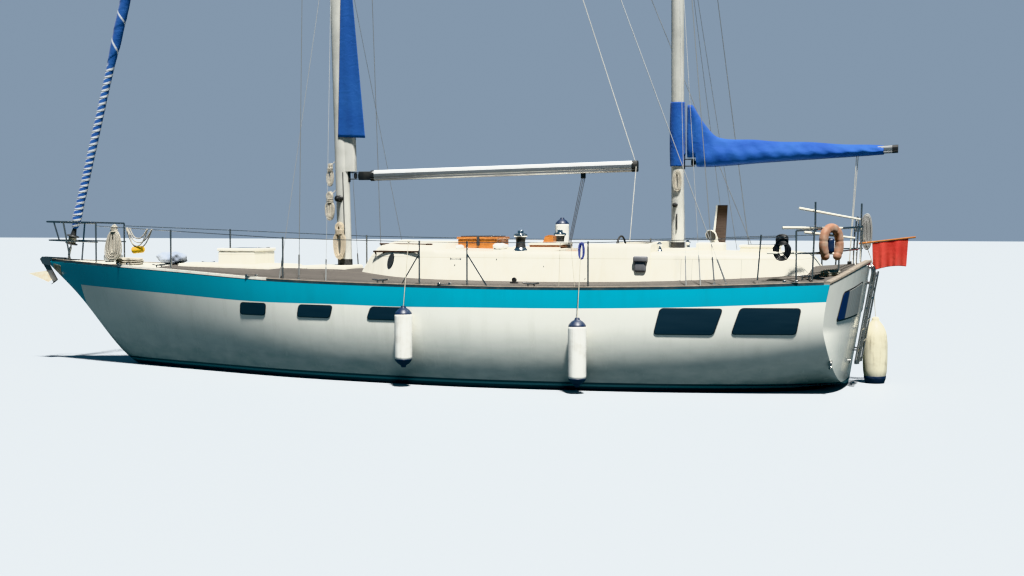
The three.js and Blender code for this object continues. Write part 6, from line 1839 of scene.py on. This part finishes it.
def cleat(x, y, foot, reach):
    """A horned cleat that lies fore and aft: two legs and a bar with turned-up ends."""
    bar = led_through([[x - reach, y, foot + 0.060], [x - reach * 0.55, y, foot + 0.050],
                       [x, y, foot + 0.047], [x + reach * 0.55, y, foot + 0.050],
                       [x + reach, y, foot + 0.060]], 14)
    legs = [straight((x + k * reach * 0.35, y, foot - 0.004), (x + k * reach * 0.35, y, foot + 0.050), 0.012,
                     12) for k in (-1, 1)]
    return [tube(bar, 0.011, 12)] + legs


cleats = []
for s in (-1, 1):
    for cleat_x, inset in ((-4.50, 0.16), (-0.55, 0.14), (1.62, 0.14), (5.08, 0.22)):
        spot = deck_point(cleat_x, s, inset)
        cleats += cleat(cleat_x, spot[1], spot[2], 0.115)
    for chock_x in (-5.15, -2.62, 0.46, 4.92):
        chock_y, chock_z = s * (half_breadth(chock_x) - 0.019), sheer(chock_x) + 0.044
        for k in (-1, 1):
            cleats.append(rounded_box((chock_x + k * 0.075 - 0.022, chock_y - 0.018, chock_z),
                                      (chock_x + k * 0.075 + 0.022, chock_y + 0.018, chock_z + 0.034),
                                      0.012))
        cleats.append(rounded_box((chock_x - 0.095, chock_y - 0.018, chock_z),
                                  (chock_x + 0.095, chock_y + 0.018, chock_z + 0.010), 0.004))
make("cleats_and_chocks", cleats, stainless)
stem_beige = weathered("stem plate", (0.50, 0.42, 0.32), dirt=(0.14, 0.13, 0.12), patches=0.9, scale=9.0,
                       rough=0.7)
for s, label in ((-1, "port"), (1, "starboard")):
    plate = [(-6.800, 1.430), (-6.640, 1.330), (-6.610, 1.505), (-6.790, 1.535)]
    make(f"stem_plate_{label}", [side_plate(plate, s, 0.02, 0.004, 0.012, 5)], stem_beige, crease_deg=50)

# Handrails on the cabin top: dark oiled wood on short posts, screwed down from inside, one along each
# edge and one further in.
oiled_wood = wood("oiled dark wood", (0.085, 0.060, 0.048), (0.035, 0.024, 0.020), fineness=2.0, rough=0.6)
rail_shells = []
for s in (-1, 1):
    for fore, aft in (((-1.031, 0.765, 1.772), (-0.225, 1.060, 1.778)),
                      ((-1.044, 0.500, 1.874), (-0.189, 0.745, 1.874))):
        fore, aft = np.array(fore) * (1, s, 1), np.array(aft) * (1, s, 1)
        rail_shells.append(tube(np.linspace(fore, aft, 8), 0.0135, 12))
        for t in np.linspace(0.03, 0.97, 6):
            middle = fore + (aft - fore) * t
            inner = middle - (0, s * 0.035, 0.038)
            rail_shells.append(straight(middle, inner, 0.012, 10))
    rail_shells.append(rounded_box((-0.235, s * 0.745 - 0.03, 1.835), (-0.150, s * 0.745 + 0.03, 1.890),
                                   0.01))
make("cabin_handrails", rail_shells, oiled_wood)

# On the trunk's sides: an oval portlight, small bolts and padeyes, seams of lockers, and a grey moulded
# pouch for winch handles beside the cockpit.


def trunk_wall(x, z):
    """Distance of the trunk's side from the centreline: straight from its foot to its shoulder."""
    foot, edge, top = trunk_line(x, 1), trunk_line(x, 2), trunk_line(x, 3)
    return foot + (edge + 0.008 - foot) * np.clip((z - wall_foot) / (top - shoulder_drop - wall_foot), 0, 1)


def wall_plate(x, z, side, out, thick):
    """A plate on the trunk's side from filled rings of x and z."""
    face = on_grid(x, side * (trunk_wall(x, z) + out), z)
    back = on_grid(x, side * (trunk_wall(x, z) + out - thick), z)
    return skin(np.concatenate([back[::-1], face]), wrap=True)


turn_about = np.linspace(0, 2 * math.pi, 41)[:-1]
oval_panes, oval_rims, bolts, seams = [], [], [], []
for s in (-1, 1):
    for shells, long_half, short_half, out in ((oval_panes, 0.104, 0.048, 0.010),
                                               (oval_rims, 0.113, 0.057, 0.006)):
        u, v = long_half * np.cos(turn_about), short_half * np.sin(turn_about)
        ring = np.column_stack([-0.712 + 0.26 * u + 0.966 * v, 1.645 + 0.966 * u - 0.26 * v])
        rings = filled(ring)
        shells.append(wall_plate(rings[..., 0], rings[..., 1], s, out, 0.02))
    for x, z, radius in ((0.318, 1.604, 0.010), (0.925, 1.686, 0.009), (0.250, 1.689, 0.010),
                         (0.400, 1.689, 0.012), (1.60, 1.60, 0.008), (2.18, 1.44, 0.009)):
        wall = s * trunk_wall(x, z)
        bolts.append(lathe([(0, -0.006), (radius, -0.006), (radius, 0.006), (radius * 0.5, 0.012),
                            (0, 0.012)], (x, wall, z), (0, s, 0), sides=14))
    bolts.append(straight((0.250, s * (trunk_wall(0.25, 1.689) + 0.006), 1.689),
                          (0.400, s * (trunk_wall(0.40, 1.689) + 0.006), 1.689), 0.0025))
    for x in (3.455, 3.599, 4.234):
        z = np.array([1.43, 1.50, 1.60, 1.70])
        seams.append(tube(np.column_stack([x + 0 * z, s * (trunk_wall(x, z) + 0.0005), z]), 0.0028, 6))
        seams.append(straight((x, s * trunk_wall(x, 1.43), 1.43), (x - 0.05, s * trunk_wall(x, 1.43), 1.425),
                              0.0035, 6))
make("oval_portlights", oval_panes, smoked, crease_deg=50)
make("oval_portlight_rims", oval_rims, stainless, crease_deg=50)
make("trunk_bolts", bolts, stainless)
make("locker_seams", seams, seal)
grey_plastic = weathered("grey plastic", (0.115, 0.12, 0.135), dirt=(0.20, 0.20, 0.20), patches=0.5,
                         scale=6.0, rough=0.55)
pouch = [rounded_box((2.832, -1.232, 1.660), (3.022, -1.120, 1.742), 0.022),
         rounded_box((2.842, -1.215, 1.530), (3.004, -1.130, 1.690), 0.030)]
make("handle_pouch", pouch, grey_plastic)
blocks = []
for s in (-1, 1):
    spot = deck_point(1.27, s, 0.52)
    blocks.append(rounded_box((1.215, spot[1] - 0.020, spot[2] - 0.004),
                              (1.325, spot[1] + 0.020, spot[2] + 0.022), 0.008))
    blocks.append(lathe([(0, 0), (0.030, 0), (0.034, 0.010), (0.034, 0.030), (0.026, 0.040), (0, 0.040)],
                        (1.27, spot[1] - 0.020, spot[2] + 0.046), (0, 1, 0), sides=24))
make("sheet_leads", blocks, black_plastic)

# Small gear on the cabin top: a rumpled white cloth and a white bundle by the skylight, a wooden wedge on
# the companionway's slide, and a bag on the foredeck.


def lump(low, high, wrinkle, seed, rows=26, cols=40):
    """A soft bundle: a ball grown to fill a box, pushed in and out by waves of several lengths."""
    low, high = np.asarray(low, float), np.asarray(high, float)
    lat = np.linspace(-math.pi / 2, math.pi / 2, rows)[1:-1, None]
    lon = round_angles(cols)[None]
    soft = 0.75
    ring = np.abs(np.cos(lat)) ** soft
    x = ring * boxy(np.cos(lon), soft)
    y = ring * boxy(np.sin(lon), soft)
    z = boxy(np.sin(lat), soft) + 0 * lon
    waves = (np.sin(3 * lon + 2.3 * lat + seed) + 0.7 * np.sin(5 * lon - 4.1 * lat + 2 * seed) + 0.5
             * np.sin(9 * lon + 6 * lat + 3 * seed)) * wrinkle / 2.2
    scale = 1 - wrinkle + waves
    unit = on_grid(x * scale, y * scale, z * np.minimum(scale, 1))
    return capped((low + high) / 2 + unit * (high - low) / 2)


white_cloth = cloth_finish("white cloth", (0.62, 0.62, 0.60), (0.46, 0.47, 0.48), fading=0.5, creases=0.010)
bag_cloth = cloth_finish("bag cloth", (0.20, 0.235, 0.30), (0.42, 0.45, 0.50), fading=0.7, creases=0.014)
roof_low = roof_at(0.80, 0.45)
bundle = make("white_bundle",
              [lump((0.665, -0.66, roof_low - 0.012), (0.885, -0.38, roof_low + 0.085), 0.12, 0.4)],
              white_cloth, crease_deg=180)
roof_low = roof_at(0.20, 0.62)
bundle = make("white_roll",
              [lump((0.16, -0.72, roof_low - 0.014), (0.26, -0.50, roof_low + 0.060), 0.10, 1.9)],
              white_cloth, crease_deg=180)
bag_floor = deck_z(-4.62, 0.0) + deck_rise
bag = make("foredeck_bag",
           [lump((-4.92, -0.30, bag_floor - 0.004), (-4.46, 0.22, bag_floor + 0.20), 0.16, 0.9)], bag_cloth,
           crease_deg=180)
wedge_grid = np.array([[(1.27, y, 1.901), (1.42, y, 1.901), (1.42, y, 1.985), (1.36, y, 2.005),
                        (1.30, y, 1.985)] for y in (-0.10, 0.06)])
make("slide_wedge", [capped(wedge_grid)], varnished, "companionway")

# The sheets: tackles under tension from each boom to the deck, with the boom end's spare line beside the
# main tackle.
sheet_rope = rope_finish("sheet rope", (0.70, 0.68, 0.62), 400)
dark_rope = rope_finish("dark sheet rope", (0.10, 0.105, 0.12), 400)


def tackle(name, tops, foots, radius, finish, sides=6):
    """Straight parts of a tackle, each from its boom to the deck."""
    shells = [tube(np.linspace(top, foot, 24), radius, sides) for top, foot in zip(tops, foots)]
    piece = make(name, shells, finish, None)
    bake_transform(piece)
    return piece


tackle("main_sheet", [(1.81, -0.012, 2.80), (1.83, 0, 2.80), (1.85, 0.012, 2.80)],
       [(1.622, -0.03, 1.865), (1.630, 0, 1.865), (1.638, 0.03, 1.865)], 0.005, dark_rope)
tackle("main_boom_line", [(2.602, -0.056, 2.955)], [(2.57, -0.30, 1.895)], 0.005, sheet_rope)
tackle("topping_lift", [(2.575, 0.0, 3.030)], [(-2.08, 0.0, 16.94)], 0.005, sheet_rope)
tackle("mizzen_sheet", [(5.58, -0.010, 3.066), (5.60, 0.010, 3.066)],
       [(5.50, -0.03, 1.66), (5.50, 0.03, 1.66)], 0.005, sheet_rope)
feet = [rounded_box((1.612, -0.05, 1.812), (1.650, 0.05, 1.872), 0.010),
        rounded_box((5.475, -0.055, 1.60), (5.525, 0.055, 1.668), 0.010)]
make("sheet_blocks", feet, black_plastic)

# The blue line on the guard wire by the cockpit, thin braid made up in a small coil, and two falls of
# pale line from the wire to the deck.
coil_blue = rope_finish("blue line", (0.10, 0.13, 0.42), 500)
coil_wire = wire_point(2.31, -1)
hung("blue_coil", hank_path((2.262, coil_wire[1] - 0.038, coil_wire[2] - 0.22),
                            (2.358, coil_wire[1], coil_wire[2] + 0.012), 0.008, 3, 3), 0.008, coil_blue,
     fast=coil_wire + (0, 0, 0.007))
falls = []
for x, lean in ((2.02, -0.02), (2.16, 0.05)):
    top = wire_point(x, -1)
    falls.append(straight(top, deck_point(x + lean, -1, 0.10), 0.004))
make("rail_falls", falls, pale_rope)

# On the aft cabin: a weathered board of oiled wood that leans behind the cowl, painted white along its
# forward edge.
board_face = np.array([[(3.640, 0.17, 1.775), (3.800, 0.17, 1.775), (3.800, 0.195, 1.775),
                        (3.640, 0.195, 1.775)],
                       [(3.705, 0.17, 2.42), (3.835, 0.17, 2.42), (3.835, 0.195, 2.42),
                        (3.705, 0.195, 2.42)]])
board_edge = np.array([[(3.615, 0.166, 1.775), (3.638, 0.166, 1.775), (3.638, 0.197, 1.775),
                        (3.615, 0.197, 1.775)],
                       [(3.680, 0.166, 2.42), (3.703, 0.166, 2.42), (3.703, 0.197, 2.42),
                        (3.680, 0.197, 2.42)]])
make("leaning_board", [capped(board_face)], oiled_wood)
make("leaning_board_edge", [capped(board_edge)], hatch_white)

# On the stern: the ladder's bent heads, the exhaust and a drain through the transom, poles and posts on
# the rail, ropes hung on it, and a rope heap on the deck.
stern_steel = []
for s in (-1, 1):
    stern_steel.append(tube(led_through([[5.798, s * 0.19, 1.40], [5.812, s * 0.19, 1.50],
                                         [5.808, s * 0.19, 1.572], [5.778, s * 0.19, 1.602],
                                         [5.740, s * 0.19, 1.588]], 24), 0.0165, 14))
for y, z, radius in ((-1.208, 0.39, 0.052), (-0.272, 0.361, 0.026)):
    foot = (transom_x(y, z) - 0.01, y, z)
    stern_steel.append(lathe([(0, 0), (radius, 0), (radius * 1.15, 0.014), (radius * 1.15, 0.022),
                              (radius * 0.8, 0.026), (radius * 0.78, 0.008), (0, 0.008)], foot, (1, 0, -0.2),
                             sides=28))
stern_steel.append(straight((4.517, -1.59, 1.46), (4.56, -1.58, 2.03), 0.011, 12))
stern_steel.append(straight((5.20, -1.345, 2.06), (5.20, -1.345, 2.44), 0.012, 12))
stern_steel.append(tube(led_through([[5.62, -0.42, 2.06], [5.622, -0.42, 2.20], [5.632, -0.36, 2.25],
                                     [5.640, -0.30, 2.20], [5.645, -0.30, 2.06]], 24), 0.011, 12))
stern_steel.append(straight((5.585, 0.64, 1.64), (5.600, 0.64, 2.44), 0.012, 12))
make("stern_fittings", stern_steel, stainless)
pole_pale = weathered("pale pole", (0.66, 0.64, 0.56), dirt=(0.36, 0.33, 0.28), patches=0.5, scale=6.0,
                      rough=0.5)
poles = []
for start, end in (((5.00, -1.36, 2.36), (5.72, -1.02, 2.22)), ((4.80, -1.40, 2.115), (5.50, -0.98, 2.112)),
                   ((5.06, -1.31, 2.060), (5.66, -1.05, 1.985)), ((4.62, -1.50, 1.80), (5.42, -1.16, 1.79))):
    line = np.linspace(start, end, 10)
    poles.append(tube(line, np.linspace(0.017, 0.012, 10), 14))
make("rail_poles", poles, pole_pale)
grey_rope = rope_finish("grey rope", (0.36, 0.36, 0.35), 700)
hung("quarter_hank", loosened(hank_path((5.590, 0.655, 1.80), (5.745, 0.75, 2.30), 0.014, 4, 4, 1.3), 0.014,
                              0.2), 0.014, grey_rope, fast=(5.566, 0.655, 2.092))
hung("stern_heap", loosened(flaked((5.22, -1.12), (5.48, -0.90), 0.012, 4, 3, 1.4), 0.012, 0.2), 0.012,
     pale_rope)

# The horseshoe buoy: a soft ring open below, in faded orange cloth with pale panels, in its holder on the
# quarter's rail.
quarter_turn = math.atan2(0.410, 0.280)
buoy_outline = np.array([[-0.095, -0.190], [-0.150, -0.020], [-0.120, 0.150], [0.0, 0.215], [0.120, 0.150],
                         [0.150, -0.020], [0.095, -0.190]])


buoy_line = led_through(buoy_outline, 90)
tangent = np.gradient(buoy_line, axis=0)
tangent /= np.linalg.norm(tangent, axis=1, keepdims=True)
normal = np.column_stack([tangent[:, 1], -tangent[:, 0]])
angle = np.linspace(0, 2 * math.pi, 29)[:-1]
across = 0.055 * boxy(np.cos(angle), 0.75)
depth_off = 0.050 * boxy(np.sin(angle), 0.75)
swell = 1 - 0.10 * np.exp(-((np.linspace(0, 1, 90)[:, None] * 6) % 1 - 0.5) ** 2 / 0.004)
end_round = np.sqrt(np.clip(1 - (2 * np.abs(np.linspace(0, 1, 90) - 0.5)) ** 24, 0.05, 1))[:, None]
flat_x = buoy_line[:, :1] + normal[:, :1] * across[None] * swell * end_round
flat_z = buoy_line[:, 1:] + normal[:, 1:] * across[None] * swell * end_round
flat_y = depth_off[None] * swell * end_round
buoy_middle = (5.390, -1.249, 1.900)
buoy_grid = on_grid(buoy_middle[0] + flat_x * math.cos(quarter_turn) - flat_y * math.sin(quarter_turn),
                    buoy_middle[1] + flat_x * math.sin(quarter_turn) + flat_y * math.cos(quarter_turn),
                    buoy_middle[2] + flat_z)
buoy_finish, buoy_shader, place = finish_of("buoy cloth", Roughness=0.8, Sheen_Weight=0.1)
soiled = place("Group", {"Colour": (0.27, 0.135, 0.085), "Dirt": (0.34, 0.28, 0.22), "Patches": 1.0,
                         "Streaks": 0.2, "Scale": 5.0}, node_tree=weather)
feed(buoy_shader, Base_Color=soiled.outputs["Colour"])
relief = place("Bump", {"Height": soiled.outputs["Height"], "Strength": 0.3, "Distance": 0.001})
feed(buoy_shader, Normal=relief)
buoy = make("horseshoe_buoy_cloth", [capped(buoy_grid)], buoy_finish, replaces=("horseshoe_buoy",),
            slot="buoy_orange", crease_deg=70)
make("buoy_light", [rounded_box((5.335, -1.285, 1.80), (5.425, -1.205, 1.985), 0.03)], navy_vinyl)

# The ensign: plain red bunting, faded, that hangs in folds from a varnished staff, which leans out
# over the stern in a socket on the rail.
dress(varnished, "flagstaff")
staff_foot, staff_tip = np.array([5.590, 0.352, 1.896]), np.array([6.330, 0.400, 1.985])
flag_red = cloth_finish("red bunting", (0.40, 0.028, 0.022), (0.52, 0.09, 0.06), fading=0.5, creases=0.006)
flag_u, flag_v = np.linspace(0, 1, 60)[:, None], np.linspace(0, 1, 46)[None]
head = staff_foot + (staff_tip - staff_foot) * (0.236 + 0.636 * flag_u[..., None])
fold = 0.020 * np.sin(flag_u * 15 + 1.2 * flag_v) * flag_v ** 0.7
fold = fold + 0.010 * np.sin(flag_u * 31 + 2.0) * flag_v
drop = (0.372 + 0.03 * flag_u - 0.045 * np.sin(flag_u * 2.4)) * flag_v
flag_grid = on_grid(head[..., 0] - 0.035 * flag_v * flag_u + 0.012 * flag_v, head[..., 1] + fold,
                    head[..., 2] - 0.0125 - drop)
ensign = cloth_piece("ensign_cloth", flag_grid, flag_red, "yacht", thickness=0.0012, replaces=("ensign",),
                     slot="flag_red")
